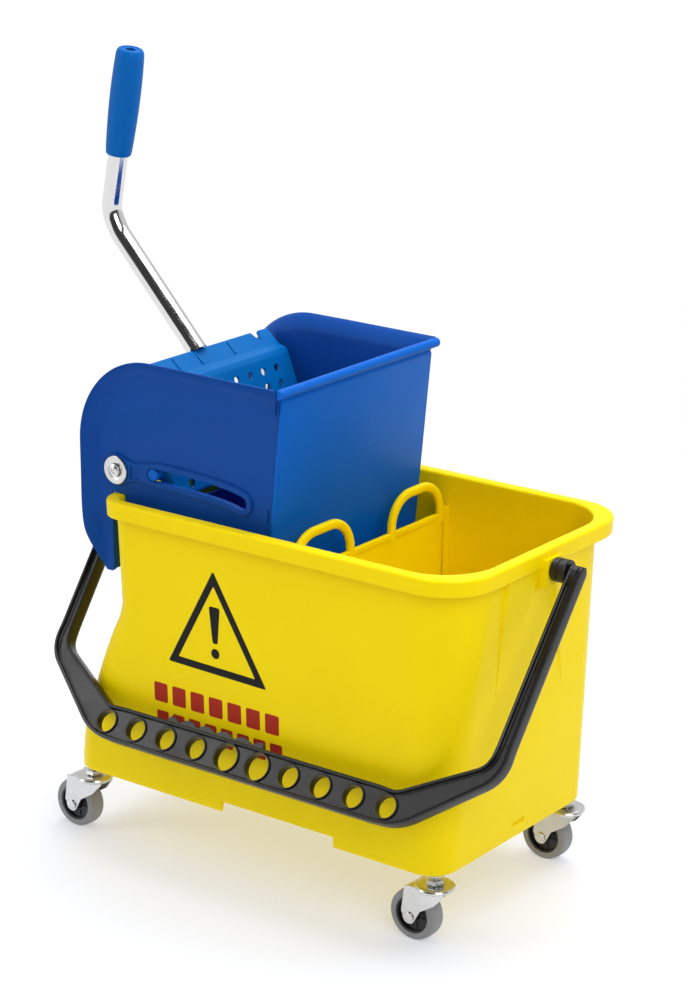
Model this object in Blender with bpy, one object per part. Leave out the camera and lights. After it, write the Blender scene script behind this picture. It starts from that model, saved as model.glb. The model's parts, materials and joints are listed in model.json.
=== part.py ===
"""Two-compartment mop bucket on four swivel casters, with a lever-operated wringer.

Design frame: millimetres are written as metres, +Z up, +X towards the end with the clean-water
compartment, Y across the bucket.  The origin of the design frame is below the middle of the bucket's
base.  At the end the whole object is moved so that it stands with its bounding box centred on the origin.
"""

import math

import bmesh
import bpy
from mathutils import Matrix, Vector

# ---------------------------------------------------------------- driving dimensions (metres)
CLEARANCE = 0.0003            # gap left between pieces that touch

# bucket
BASE_Z = 0.071                # lower edge of the skirt
RIM_Z = 0.361                 # top of the rim
LIP_DROP = 0.016              # height of the rolled lip
LIP_OUT = 0.0095              # how far the lip stands out from the wall
WALL = 0.0038                 # wall thickness
BASE_HALF_LENGTH = 0.223
BASE_HALF_WIDTH = 0.125
TOP_HALF_WIDTH = 0.130        # outer face of the wall, under the lip
RIGHT_TOP_X = 0.244           # outer face of the right end wall, under the lip
LEFT_WALL_X = -0.160          # outer face of the set-back left end wall, up to the rim
LEFT_PROFILE = (              # height, outer face and corner radius of the left end wall
    (0.071, -0.2230, 0.0280), (0.100, -0.2210, 0.0290), (0.122, -0.2165, 0.0300), (0.150, -0.2070, 0.0310),
    (0.180, -0.1955, 0.0300), (0.205, -0.1840, 0.0280), (0.225, -0.1735, 0.0255), (0.240, -0.1650, 0.0240),
    (0.252, -0.1610, 0.0230), (0.264, -0.1600, 0.0220), (0.361, -0.1600, 0.0170))
LIP_CORNER_TIGHTER = 0.016    # the lip's right corners are tighter than the wall's by this much
RIGHT_BASE_CORNER_RADIUS = 0.028
RIGHT_TOP_CORNER_RADIUS = 0.056
FLOOR_UNDERSIDE_Z = 0.082
FLOOR_TOP_Z = 0.086
SKIRT_NOTCH = (-0.032, 0.103) # the skirt is cut away between these two x on the near side
END_SLOT = (0.010, 0.005)     # half width and height of the shallow slot in the right end
CORNER_STEPS = 5
GUSSET_LOW_Z = 0.195          # where the pads below the right pivot boss run out
PILLAR_HALF = 0.034           # half width of the upright below the left pivot
PILLAR_FOOT_Z = 0.128

# bail (carrying handle)
BAIL_CENTRE_X = 0.0185
BAIL_PIVOT_Z = 0.342
BAIL_PIVOT_HALF = 0.2630      # from the bail's middle to the middle of each arm
BAIL_ELBOW = (0.2575, 0.186)   # half span and radius of the elbows
BAIL_BAR_HALF = 0.170         # half span of the grip bar's corners
BAIL_RADIUS = 0.250           # from the pivot axis to the middle of the grip bar
BAIL_THICKNESS = 0.0145
BAIL_ARM_WIDTH = 0.0140
BAIL_BAR_WIDTH = 0.035
BAIL_REST_DEG = 36.8          # the hanging bail leans this far out from straight down
BAIL_HOLES = 10
BAIL_HOLE_RADIUS = 0.0107
BAIL_BIG_HOLE_RADIUS = 0.0130
BOSS_FACE_HALF = 0.2400       # bail middle to the faces of the two pivot bosses
PIVOT_PIN_RADIUS = 0.0050
PIN_END_HALF = 0.2660         # the pins end inside the arms

# divider
DIVIDER_X = 0.048
DIVIDER_TOP_Z = 0.324
DIVIDER_LOOP_TOP_Z = 0.361
DIVIDER_LOOPS = ((-0.069, 0.094), (0.078, 0.088))  # middle and width of each hoop
DIVIDER_THICKNESS = 0.0036
LOOP_STRIP = 0.0090

# wringer basket
PANEL_Y = 0.113               # outer face of each side panel
PANEL_THICKNESS = 0.003
FLARE_OUT = 0.012             # the flared edge stands out this far
FLARE_HEIGHT = 0.015
WRINGER_TOP_Z = 0.4975
WRINGER_BOTTOM_Z = 0.238
FRONT_TOP_X = 0.037           # inner face of the front panel at the wringer's top
FRONT_LEAN = 0.1016           # x lost per unit of height
PANEL_LEFT_X = -0.2005
PANEL_CORNER_RADIUS = 0.088
TAIL_BOTTOM_Z = 0.281
RIM_SLOT_X = (-0.1712, -0.1540)
ROLL_RADIUS = 0.0046          # rolled top edge of the front panel

# press mechanism (x, z in the side view)
LINK_PIVOT = (-0.163, 0.385)  # the two links turn here on the side panels
JAW_HINGE = (-0.143, 0.460)   # the press jaw turns here on the links
GUIDE_PIN = (-0.118, 0.3878)
LINK_TRAVEL_DEG = 60.0
SLOT_OVERRUN = 0.0050         # the guide slots run on this far past the pins' travel
JAW_RATIO = -1.885            # jaw turn on the links for each degree that the links turn
GUIDE_PIN_RADIUS = 0.0060
LINK_Y = (0.0930, 0.0985)
LINK_ENDS = (0.0085, 0.0044)  # radius of each end of a link
HINGE_ROD_RADIUS = 0.0020
JAW_EAR_Y = (0.1010, 0.1050)
JAW_HALF_WIDTH = 0.1050
JAW_LENGTH = 0.106
JAW_TOP = (-0.1330, 0.4655)
JAW_LEAN_DEG = 21.8           # the resting jaw leans this far from vertical
JAW_SHEET = 0.0030
HOOD_BACK = Vector((-0.1570, 0.4810))
HOOD_NORMAL = Vector((0.648, 0.762))
BOLT_RADIUS = 0.0024
RIB_PLACES = (-0.0512, -0.0102, 0.0512)
HOLE_ROWS = 6
HOLE_COLUMNS = 9
HOLE_PITCH = (0.0205, 0.0158) # across the jaw and down its face
HOLE_RADIUS = 0.0041

# lever
TUBE_RADIUS = 0.0100
TUBE_WALL = 0.0013
TUBE_POINTS = ((-0.1572, 0.4780), (-0.2495, 0.5766), (-0.2640, 0.6050), (-0.2622, 0.6170),
               (-0.25105, 0.6770))
TANG = (Vector((-0.1490, 0.4625)), Vector((-0.1695, 0.4835)))  # flattened end below the hood
GRIP_POINTS = ((-0.2542, 0.6600), (-0.2350, 0.7640))

# casters
CASTER_X = 0.208
CASTER_Y = 0.109
WHEEL_RADIUS = 0.025
TYRE_WIDTH = 0.0175
CASTER_TRAIL = 0.0205
FORK_INNER_HALF = 0.0110
FORK_SHEET = 0.0020
FORK_TOP_Z = 0.0590
HEAD_RADIUS = 0.0185
STUD_RADIUS = 0.0050
AXLE_RADIUS = 0.0040


# ---------------------------------------------------------------- materials
def material(name, colour, roughness, metallic=0.0):
    """A plain Principled material."""
    made = bpy.data.materials.new(name)
    made.use_nodes = True
    shader = made.node_tree.nodes["Principled BSDF"]
    shader.inputs["Base Color"].default_value = (*colour, 1.0)
    shader.inputs["Roughness"].default_value = roughness
    shader.inputs["Metallic"].default_value = metallic
    made.diffuse_color = (*colour, 1.0)
    return made


def make_materials():
    """Every material of the object, by name."""
    return {
        "yellow": material("yellow_plastic", (0.85, 0.64, 0.0), 0.35),
        "panel": material("dark_blue_plastic", (0.012, 0.080, 0.30), 0.35),
        "front": material("blue_plastic", (0.002, 0.110, 0.42), 0.32),
        "jaw": material("light_blue_plastic", (0.004, 0.200, 0.60), 0.30),
        "grip": material("grip_plastic", (0.004, 0.170, 0.58), 0.42),
        "black": material("black_plastic", (0.015, 0.015, 0.017), 0.30),
        "tyre": material("grey_tyre", (0.26, 0.26, 0.26), 0.60),
        "chrome": material("chrome_steel", (0.62, 0.63, 0.65), 0.10, 1.0),
        "zinc": material("zinc_steel", (0.60, 0.60, 0.58), 0.28, 1.0),
    }


# ---------------------------------------------------------------- general helpers
def finish(name, bm, finish_material, parent, smooth_deg=35.0):
    """Turn a bmesh in design coordinates into an object that rides on its parent empty."""
    bmesh.ops.recalc_face_normals(bm, faces=bm.faces)
    origin = parent["origin"]
    bm.transform(Matrix.Translation(-origin))
    mesh = bpy.data.meshes.new(name)
    bm.to_mesh(mesh)
    bm.free()
    mesh.shade_smooth()
    mesh.set_sharp_from_angle(angle=math.radians(smooth_deg))
    mesh.materials.append(finish_material)
    made = bpy.data.objects.new(name, mesh)
    bpy.context.collection.objects.link(made)
    made.parent = parent["empty"]
    return made


def body(name, origin, parent=None):
    """An empty on a joint's axis; every piece of one moving body is parented to it."""
    empty = bpy.data.objects.new(name, None)
    bpy.context.collection.objects.link(empty)
    empty.location = origin
    if parent is not None:
        empty.parent = parent["empty"]
        empty.location = Vector(origin) - parent["origin"]
    return {"empty": empty, "origin": Vector(origin)}


def loft(bm, rings, closed=False):
    """Skin a list of rings that have the same number of points; cap the two ends unless closed."""
    rows = [[bm.verts.new(point) for point in ring] for ring in rings]
    pairs = list(zip(rows, rows[1:]))
    if closed:
        pairs.append((rows[-1], rows[0]))
    count = len(rows[0])
    for lower, upper in pairs:
        for i in range(count):
            j = (i + 1) % count
            bm.faces.new((lower[i], lower[j], upper[j], upper[i]))
    if not closed:
        bm.faces.new(list(reversed(rows[0])))
        bm.faces.new(rows[-1])


def side_plate(outline, y_from, y_to):
    """A plate whose (x, z) outline is extruded along Y."""
    bm = bmesh.new()
    loft(bm, [[(x, y, z) for x, z in outline] for y in (y_from, y_to)])
    return bm


def box(low, high):
    """A box between two corners."""
    bm = bmesh.new()
    (x0, y0, z0), (x1, y1, z1) = low, high
    loft(bm, [[(x0, y0, z), (x1, y0, z), (x1, y1, z), (x0, y1, z)] for z in (z0, z1)])
    return bm


def turned(profile, segments, centre, axis="Z", phase=0.0):
    """A closed solid of revolution; profile is (radius, height) pairs, and radius 0 closes an end.

    The phase turns the facets by that share of one facet.
    """
    bm = bmesh.new()
    rings = []
    for radius, height in profile:
        ring = []
        for i in range(segments):
            angle = 2.0 * math.pi * (i + phase) / segments
            ring.append((max(radius, 0.0) * math.cos(angle), max(radius, 0.0) * math.sin(angle), height))
        rings.append(ring)
    solid_ends = profile[0][0] <= 0.0
    if solid_ends:
        rings = rings[1:-1]
    loft(bm, rings, closed=not solid_ends)
    turns = {"Z": Matrix.Identity(4), "Y": Matrix.Rotation(math.radians(-90.0), 4, "X"),
             "X": Matrix.Rotation(math.radians(90.0), 4, "Y")}
    bm.transform(Matrix.Translation(centre) @ turns[axis])
    return bm


def rod(radius, start, end, segments=16, bevel=0.0):
    """A round bar between two points, with an optional chamfer at both ends."""
    start, end = Vector(start), Vector(end)
    length = (end - start).length
    profile = [(0.0, 0.0), (radius - bevel, 0.0)]
    if bevel > 0.0:
        profile += [(radius, bevel), (radius, length - bevel)]
    profile += [(radius - bevel, length), (0.0, length)]
    bm = turned(profile, segments, (0.0, 0.0, 0.0))
    turn = (end - start).to_track_quat("Z", "Y").to_matrix().to_4x4()
    bm.transform(Matrix.Translation(start) @ turn)
    return bm


def combine(bm, others, operation):
    """Apply exact Booleans of the other bmeshes to bm, and return the result."""
    for other in others:
        holders = []
        for number, source in enumerate((bm, other)):
            bmesh.ops.recalc_face_normals(source, faces=source.faces)
            mesh = bpy.data.meshes.new("boolean_source")
            source.to_mesh(mesh)
            source.free()
            holder = bpy.data.objects.new("boolean_source", mesh)
            bpy.context.collection.objects.link(holder)
            holders.append(holder)
        modifier = holders[0].modifiers.new("cut", "BOOLEAN")
        modifier.operation = operation
        modifier.solver = "EXACT"
        modifier.object = holders[1]
        evaluated = holders[0].evaluated_get(bpy.context.evaluated_depsgraph_get())
        bm = bmesh.new()
        bm.from_mesh(evaluated.to_mesh())
        evaluated.to_mesh_clear()
        for holder in holders:
            mesh = holder.data
            bpy.data.objects.remove(holder)
            bpy.data.meshes.remove(mesh)
    return bm


def arc(centre, radius, start_deg, end_deg, steps):
    """Points on a circular arc, both ends included."""
    points = []
    for i in range(steps + 1):
        angle = math.radians(start_deg + (end_deg - start_deg) * i / steps)
        points.append((centre[0] + radius * math.cos(angle), centre[1] + radius * math.sin(angle)))
    return points


def circle(centre, radius, steps):
    """Points of a full circle without a repeated last point."""
    return arc(centre, radius, 0.0, 360.0, steps)[:-1]


def turn_about(point, pivot, degrees):
    """Turn an (x, z) point about an axis along +Y."""
    angle = math.radians(degrees)
    x, z = point[0] - pivot[0], point[1] - pivot[1]
    return (pivot[0] + x * math.cos(angle) + z * math.sin(angle),
            pivot[1] - x * math.sin(angle) + z * math.cos(angle))


# ---------------------------------------------------------------- bucket
def left_wall(z):
    """Outer face and corner radius of the left end wall: upright below the rim, swept out to the base."""
    for (low_z, *low), (high_z, *high) in zip(LEFT_PROFILE, LEFT_PROFILE[1:]):
        if z <= high_z:
            share = (z - low_z) / (high_z - low_z)
            return [a + (b - a) * share for a, b in zip(low, high)]
    return LEFT_PROFILE[-1][1:]


def wall_outline(z, inset):
    """Rounded outline of the bucket at a height, moved inwards by inset (outwards if negative)."""
    part = (z - BASE_Z) / (RIM_Z - LIP_DROP - BASE_Z)
    half_y = BASE_HALF_WIDTH + (TOP_HALF_WIDTH - BASE_HALF_WIDTH) * part - inset
    right_x = BASE_HALF_LENGTH + (RIGHT_TOP_X - BASE_HALF_LENGTH) * part - inset
    left_x, left_radius = left_wall(z)
    left_x += inset
    part = min(part, 1.0)
    right_radius = RIGHT_BASE_CORNER_RADIUS + (RIGHT_TOP_CORNER_RADIUS - RIGHT_BASE_CORNER_RADIUS) * part
    lip_share = max(-inset / LIP_OUT, 0.0)
    right_radius = max(right_radius - inset - LIP_CORNER_TIGHTER * lip_share, 0.004)
    left_radius = max(left_radius - inset, 0.004)
    corners = ((right_x - right_radius, -half_y + right_radius, right_radius, -90.0),
               (right_x - right_radius, half_y - right_radius, right_radius, 0.0),
               (left_x + left_radius, half_y - left_radius, left_radius, 90.0),
               (left_x + left_radius, -half_y + left_radius, left_radius, 180.0))
    ring = []
    for x, y, radius, start in corners:
        ring += [(px, py, z) for px, py in arc((x, y), radius, start, start + 90.0, CORNER_STEPS)]
    return ring


def bucket_shell():
    """Outer wall, rolled lip, inner wall and floor, with the underside hollowed behind the skirt."""
    sweep_levels = [row[0] for row in LEFT_PROFILE[1:-1]]
    lip_z = RIM_Z - LIP_DROP
    outer = [(BASE_Z, 0.0)] + [(z, 0.0) for z in sweep_levels] + [(lip_z - 0.002, 0.0)]
    lip = [(RIM_Z - 0.005, 0.0), (RIM_Z - 0.005, -LIP_OUT + 0.0030), (lip_z, -LIP_OUT + 0.0030),
           (lip_z, -LIP_OUT), (RIM_Z - 0.0035, -LIP_OUT), (RIM_Z - 0.0012, -LIP_OUT + 0.0012),
           (RIM_Z, -LIP_OUT + 0.0038), (RIM_Z, 0.0014), (RIM_Z - 0.0012, 0.0030),
           (RIM_Z - 0.0035, WALL)]
    inner = [(z, WALL) for z in reversed(sweep_levels[1:])] + [(FLOOR_TOP_Z, WALL)]
    rings = [wall_outline(FLOOR_UNDERSIDE_Z, 0.0060), wall_outline(BASE_Z, 0.0045)]
    rings += [wall_outline(z, inset) for z, inset in outer + lip + inner]
    bm = bmesh.new()
    loft(bm, rings)
    return bm


def left_pillar():
    """Narrow upright that carries the left bail pivot past the set-back end wall."""
    face_x = BAIL_CENTRE_X - BOSS_FACE_HALF + 0.008
    buried, top_z = 0.001, RIM_Z - 0.006
    profile = [(face_x, top_z), (LEFT_WALL_X + buried, top_z)]
    for z, wall_x, radius in reversed(LEFT_PROFILE[:-1]):
        if wall_x > face_x:
            profile.append((wall_x + buried, z))
    profile.append((face_x + buried, PILLAR_FOOT_Z))
    bm = side_plate(profile, -PILLAR_HALF, PILLAR_HALF)
    corners = [e for e in bm.edges if all(abs(v.co.x - face_x) < buried + 1e-5 for v in e.verts)]
    bmesh.ops.bevel(bm, geom=[e for e in corners if abs(e.verts[0].co.y - e.verts[1].co.y) < 1e-6],
                    offset=0.006, segments=2, affect="EDGES")
    return bm


def pivot_boss(side):
    """Block below the lip that holds a bail pivot pin: side is +1 at the right end, -1 at the left."""
    face_x = BAIL_CENTRE_X + side * BOSS_FACE_HALF
    root_x = RIGHT_TOP_X - 0.003 if side > 0 else BAIL_CENTRE_X - BOSS_FACE_HALF + 0.010
    half = 0.013
    top_z, bottom_z = RIM_Z - 0.008, BAIL_PIVOT_Z - 0.014
    profile = [(root_x, top_z), (face_x, top_z), (face_x, bottom_z), (root_x, bottom_z - 0.008)]
    return side_plate(profile, -half, half)


def end_gussets():
    """Two shallow triangular pads that carry the right boss's load down the end wall."""
    gussets = []
    top_z = RIM_Z - LIP_DROP - 0.001
    for side in (-1, 1):
        points = [(RIGHT_TOP_X + 0.0030, side * 0.0560, top_z), (RIGHT_TOP_X - 0.0030, side * 0.0580, top_z),
                  (RIGHT_TOP_X - 0.0030, 0.0, top_z), (RIGHT_TOP_X + 0.0070, side * 0.0125, top_z),
                  (0.2318, side * 0.0590, GUSSET_LOW_Z)]
        bm = bmesh.new()
        corners = [bm.verts.new(point) for point in points]
        bmesh.ops.convex_hull(bm, input=corners)
        gussets.append(bm)
    return gussets


def divider_guides():
    """Four upright ribs that make the divider's two slots."""
    ribs = []
    for side in (-1, 1):
        for offset in (-0.0042, 0.0042):
            x = DIVIDER_X + offset
            low = (x - 0.0014, min(side * 0.1155, side * 0.1225), FLOOR_TOP_Z - 0.001)
            high = (x + 0.0014, max(side * 0.1155, side * 0.1225), DIVIDER_TOP_Z + 0.006)
            rib = box(low, high)
            for vert in rib.verts:
                if abs(vert.co.y) > 0.119 and vert.co.z > 0.2:
                    vert.co.y = side * 0.1275
                elif vert.co.z > 0.2:
                    vert.co.y = side * 0.1200
            ribs.append(rib)
    return ribs


def make_bucket(root, materials):
    """The bucket: shell, caster pads, pivot bosses, divider guides, skirt notch and end slot."""
    bm = bucket_shell()
    pads = []
    for sx in (-1, 1):
        for sy in (-1, 1):
            pads.append(rod(0.0102, (sx * CASTER_X, sy * CASTER_Y, BASE_Z),
                            (sx * CASTER_X, sy * CASTER_Y, FLOOR_TOP_Z - 0.001), 16))
    bosses = [left_pillar(), pivot_boss(1), pivot_boss(-1)]
    bm = combine(bm, pads + end_gussets() + bosses + divider_guides(), "UNION")
    cuts = []
    for sx in (-1, 1):
        for sy in (-1, 1):
            cuts.append(rod(STUD_RADIUS + CLEARANCE, (sx * CASTER_X, sy * CASTER_Y, BASE_Z - 0.002),
                            (sx * CASTER_X, sy * CASTER_Y, BASE_Z + 0.0085), 16))
    cuts.append(box((SKIRT_NOTCH[0], -0.140, BASE_Z - 0.010), (SKIRT_NOTCH[1], -0.118, FLOOR_UNDERSIDE_Z)))
    cuts.append(box((BASE_HALF_LENGTH - 0.0005, -END_SLOT[0], 0.0835),
                    (BASE_HALF_LENGTH + 0.0100, END_SLOT[0], 0.0835 + END_SLOT[1])))
    for side in (-1, 1):
        face_x = BAIL_CENTRE_X + side * BOSS_FACE_HALF
        cuts.append(rod(PIVOT_PIN_RADIUS + CLEARANCE, (face_x + side * 0.004, 0.0, BAIL_PIVOT_Z),
                        (face_x - side * 0.010, 0.0, BAIL_PIVOT_Z), 16))
    bm = combine(bm, cuts, "DIFFERENCE")
    finish("bucket", bm, materials["yellow"], root)


# ---------------------------------------------------------------- divider
def divider_half_width(z):
    """Half width of the divider between the tapering side walls."""
    part = (z - BASE_Z) / (RIM_Z - LIP_DROP - BASE_Z)
    return BASE_HALF_WIDTH + (TOP_HALF_WIDTH - BASE_HALF_WIDTH) * part - WALL - 0.0007


def loop_handle(centre_y, width):
    """A rounded hoop that rises from the divider's top edge."""
    half = width / 2.0 - LOOP_STRIP / 2.0
    radius = 0.030
    top = DIVIDER_LOOP_TOP_Z - LOOP_STRIP / 2.0
    path = [(centre_y - half, DIVIDER_TOP_Z - 0.010)]
    path += arc((centre_y - half + radius, top - radius), radius, 180.0, 90.0, 6)
    path += arc((centre_y + half - radius, top - radius), radius, 90.0, 0.0, 6)
    path.append((centre_y + half, DIVIDER_TOP_Z - 0.010))
    bm = bmesh.new()
    rings = []
    for i, (y, z) in enumerate(path):
        before = Vector(path[max(i - 1, 0)])
        after = Vector(path[min(i + 1, len(path) - 1)])
        along = (after - before).normalized()
        across = Vector((along.y, -along.x))
        ring = []
        for cx, cs in circle((0.0, 0.0), LOOP_STRIP / 2.0, 8):
            ring.append((DIVIDER_X + cx * 0.75, y + across.x * cs, z + across.y * cs))
        rings.append(ring)
    loft(bm, rings)
    return bm


def make_divider(divider, materials):
    """Lift-out divider plate with two hoops."""
    low_z = FLOOR_TOP_Z + CLEARANCE
    low_half = divider_half_width(low_z)
    top_half = divider_half_width(DIVIDER_TOP_Z)
    half_x = DIVIDER_THICKNESS / 2.0
    outline = [(-low_half, low_z), (low_half, low_z), (top_half, DIVIDER_TOP_Z), (-top_half, DIVIDER_TOP_Z)]
    bm = bmesh.new()
    loft(bm, [[(x, y, z) for y, z in outline] for x in (DIVIDER_X - half_x, DIVIDER_X + half_x)])
    hoops = [loop_handle(centre, width) for centre, width in DIVIDER_LOOPS]
    finish("divider", combine(bm, hoops, "UNION"), materials["yellow"], divider)


# ---------------------------------------------------------------- bail
def bail_path():
    """Middle line of the bail in its own plane: (along, out from the pivot axis, width)."""
    elbow_x, elbow_out = BAIL_ELBOW
    half = [(BAIL_PIVOT_HALF, -0.0085, 0.0080), (BAIL_PIVOT_HALF, -0.0050, 0.0120),
            (BAIL_PIVOT_HALF, 0.0, BAIL_ARM_WIDTH), (BAIL_PIVOT_HALF, 0.010, BAIL_ARM_WIDTH),
            (elbow_x - 0.0004, elbow_out - 0.012, 0.0155), (elbow_x - 0.0018, elbow_out - 0.002, 0.0175),
            (elbow_x - 0.0095, elbow_out + 0.0075, 0.0195), (0.2185, 0.2225, 0.0240),
            (BAIL_BAR_HALF + 0.010, 0.2455, 0.0305), (BAIL_BAR_HALF - 0.004, 0.2495, 0.0340),
            (BAIL_BAR_HALF - 0.018, BAIL_RADIUS, BAIL_BAR_WIDTH)]
    return half + [(-along, out, width) for along, out, width in reversed(half)]


def bail_section(width):
    """I-shaped section: (across the bail's width, through its thickness)."""
    half_w, half_t = width / 2.0, BAIL_THICKNESS / 2.0
    flange, web = min(0.0030, width * 0.2), 0.0028
    quarter = [(half_w, half_t - 0.001), (half_w - 0.001, half_t), (half_w - flange, half_t),
               (half_w - flange - 0.0008, web)]
    loop = quarter + [(-w, t) for w, t in reversed(quarter)]
    return loop + [(-w, -t) for w, t in quarter] + [(w, -t) for w, t in reversed(quarter)]


def bail_turn():
    """From the bail's own plane (along X, out along -Z, thickness along Y) to its hanging place."""
    lean = Matrix.Rotation(math.radians(-BAIL_REST_DEG), 4, "X")
    return Matrix.Translation((BAIL_CENTRE_X, 0.0, BAIL_PIVOT_Z)) @ lean


def finger_rail():
    """Scalloped rail on the inner edge of the grip bar."""
    start, end, scallops = -0.100, 0.010, 5
    pitch = (end - start) / scallops
    inner = BAIL_RADIUS - BAIL_BAR_WIDTH / 2.0
    outline = [(start - 0.006, inner + 0.002)]
    steps = 6               # corners of each scallop
    for i in range(scallops * steps + 1):
        along = start + pitch * i / steps
        outline.append((along, inner - 0.0008 - 0.0030 * abs(math.cos(math.pi * i / steps))))
    outline.append((end + 0.006, inner + 0.002))
    bm = bmesh.new()
    loft(bm, [[(x, y, -out) for x, out in outline] for y in (0.0002, BAIL_THICKNESS / 2.0 - 0.003)])
    return bm


def make_bail(bail, materials):
    """The carrying handle."""
    path = bail_path()
    rings = []
    for i, (along, out, width) in enumerate(path):
        before, after = path[max(i - 1, 0)], path[min(i + 1, len(path) - 1)]
        if out < 0.005:
            across = Vector((math.copysign(1.0, along), 0.0))
        else:
            tangent = Vector((after[0] - before[0], after[1] - before[1])).normalized()
            across = Vector((tangent.y, -tangent.x))
        rings.append([(along + across.x * w, t, -(out + across.y * w)) for w, t in bail_section(width)])
    bm = bmesh.new()
    loft(bm, rings)
    bm = combine(bm, [finger_rail()], "UNION")
    cuts = []
    first, last = -0.1685, 0.1650
    for i in range(BAIL_HOLES):
        x = first + (last - first) * i / (BAIL_HOLES - 1)
        radius = BAIL_BIG_HOLE_RADIUS if i in (4, 5) else BAIL_HOLE_RADIUS
        cuts.append(rod(radius, (x, -0.02, -BAIL_RADIUS), (x, 0.02, -BAIL_RADIUS), 16))
    for side in (-1, 1):
        mouth = (side * (BAIL_PIVOT_HALF - BAIL_ARM_WIDTH / 2.0 - 0.003), 0.0, 0.0)
        cuts.append(rod(PIVOT_PIN_RADIUS + CLEARANCE, mouth, (side * PIN_END_HALF, 0.0, 0.0), 16))
    bm = combine(bm, cuts, "DIFFERENCE")
    bm.transform(bail_turn())
    finish("bail_handle", bm, materials["black"], bail)


def make_bail_pivots(root, materials):
    """A pin and a spacer disc at each end of the bail, both fixed to the bucket."""
    for name, side in (("left", -1), ("right", 1)):
        face = BAIL_CENTRE_X + side * (BOSS_FACE_HALF + CLEARANCE)
        arm = BAIL_CENTRE_X + side * (BAIL_PIVOT_HALF - BAIL_ARM_WIDTH / 2.0 - CLEARANCE)
        pin = rod(PIVOT_PIN_RADIUS, (face - side * 0.0095, 0.0, BAIL_PIVOT_Z),
                  (BAIL_CENTRE_X + side * (PIN_END_HALF - CLEARANCE), 0.0, BAIL_PIVOT_Z), 16)
        finish("bail_pin_" + name, pin, materials["black"], root)
        disc_hole = PIVOT_PIN_RADIUS + CLEARANCE
        profile = [(disc_hole, 0.0), (0.0112, 0.0), (0.0112, abs(arm - face)), (disc_hole, abs(arm - face))]
        disc = turned(profile, 20, (min(face, arm), 0.0, BAIL_PIVOT_Z), "X")
        finish("bail_spacer_" + name, disc, materials["black"], root)


# ---------------------------------------------------------------- wringer basket
def front_edge_x(z):
    """Inner face of the leaning front panel at a height."""
    return FRONT_TOP_X - FRONT_LEAN * (WRINGER_TOP_Z - z)


def panel_outline():
    """Outline of a side panel: (x, z, share of the full flare)."""
    top_z = WRINGER_TOP_Z
    radius = PANEL_CORNER_RADIUS
    corner = (PANEL_LEFT_X + radius, top_z + 0.001 - radius)
    points = [(FRONT_TOP_X, top_z, 1.0), (-0.030, top_z + 0.0005, 1.0)]
    points += [(x, z, 1.0) for x, z in arc(corner, radius, 90.0, 180.0, 10)]
    points += [(PANEL_LEFT_X, 0.345, 1.0), (-0.1985, 0.323, 0.95), (-0.1930, 0.309, 0.8),
               (-0.1865, 0.295, 0.45), (-0.1830, 0.286, 0.1), (-0.1800, TAIL_BOTTOM_Z, 0.0),
               (RIM_SLOT_X[0], TAIL_BOTTOM_Z, 0.0), (RIM_SLOT_X[0], RIM_Z + 0.0004, 0.0),
               (RIM_SLOT_X[1], RIM_Z + 0.0004, 0.0), (RIM_SLOT_X[1], 0.262, 0.0),
               (-0.1440, WRINGER_BOTTOM_Z, 0.0), (front_edge_x(WRINGER_BOTTOM_Z), WRINGER_BOTTOM_Z, 0.0),
               (front_edge_x(0.470), 0.470, 0.15)]
    return points


def inward(points):
    """Unit vectors that point into a closed (x, z, ...) outline, run counter-clockwise or not."""
    area = sum(a[0] * b[1] - b[0] * a[1] for a, b in zip(points, points[1:] + points[:1]))
    sign = 1.0 if area > 0.0 else -1.0
    result = []
    for i, point in enumerate(points):
        before, after = Vector(points[i - 1][:2]), Vector(points[(i + 1) % len(points)][:2])
        here = Vector(point[:2])
        first = (here - before).normalized()
        second = (after - here).normalized()
        normal = Vector((-(first.y + second.y), first.x + second.x)) * sign
        normal.normalize()
        corner = max(abs(normal.dot(Vector((-first.y, first.x)))), 0.6)
        result.append(normal / corner)
    return result


def guide_path(steps):
    """Middle line of the guide pin's travel as the lever turns."""
    points = []
    for i in range(steps + 1):
        lever = LINK_TRAVEL_DEG * i / steps
        hinge = turn_about(JAW_HINGE, LINK_PIVOT, lever)
        moved = turn_about(GUIDE_PIN, LINK_PIVOT, lever)
        points.append(turn_about(moved, hinge, lever * JAW_RATIO))
    last = Vector(points[-1])
    ahead = (last - Vector(points[-2])).normalized()
    points.append(tuple(last + ahead * SLOT_OVERRUN))
    return points


def capsule(path, radius, end_steps=6):
    """Outline at an even distance round an open path, with round ends."""
    left, right = [], []
    for i, point in enumerate(path):
        before, after = path[max(i - 1, 0)], path[min(i + 1, len(path) - 1)]
        along = Vector((after[0] - before[0], after[1] - before[1])).normalized()
        left.append((point[0] - along.y * radius, point[1] + along.x * radius))
        right.append((point[0] + along.y * radius, point[1] - along.x * radius))
    first = Vector((path[1][0] - path[0][0], path[1][1] - path[0][1]))
    last = Vector((path[-1][0] - path[-2][0], path[-1][1] - path[-2][1]))
    start_deg = math.degrees(math.atan2(first.y, first.x))
    end_deg = math.degrees(math.atan2(last.y, last.x))
    start_cap = arc(path[0], radius, start_deg + 90.0, start_deg + 270.0, end_steps)[1:-1]
    end_cap = arc(path[-1], radius, end_deg - 90.0, end_deg + 90.0, end_steps)[1:-1]
    return right + end_cap + list(reversed(left)) + start_cap


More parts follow.
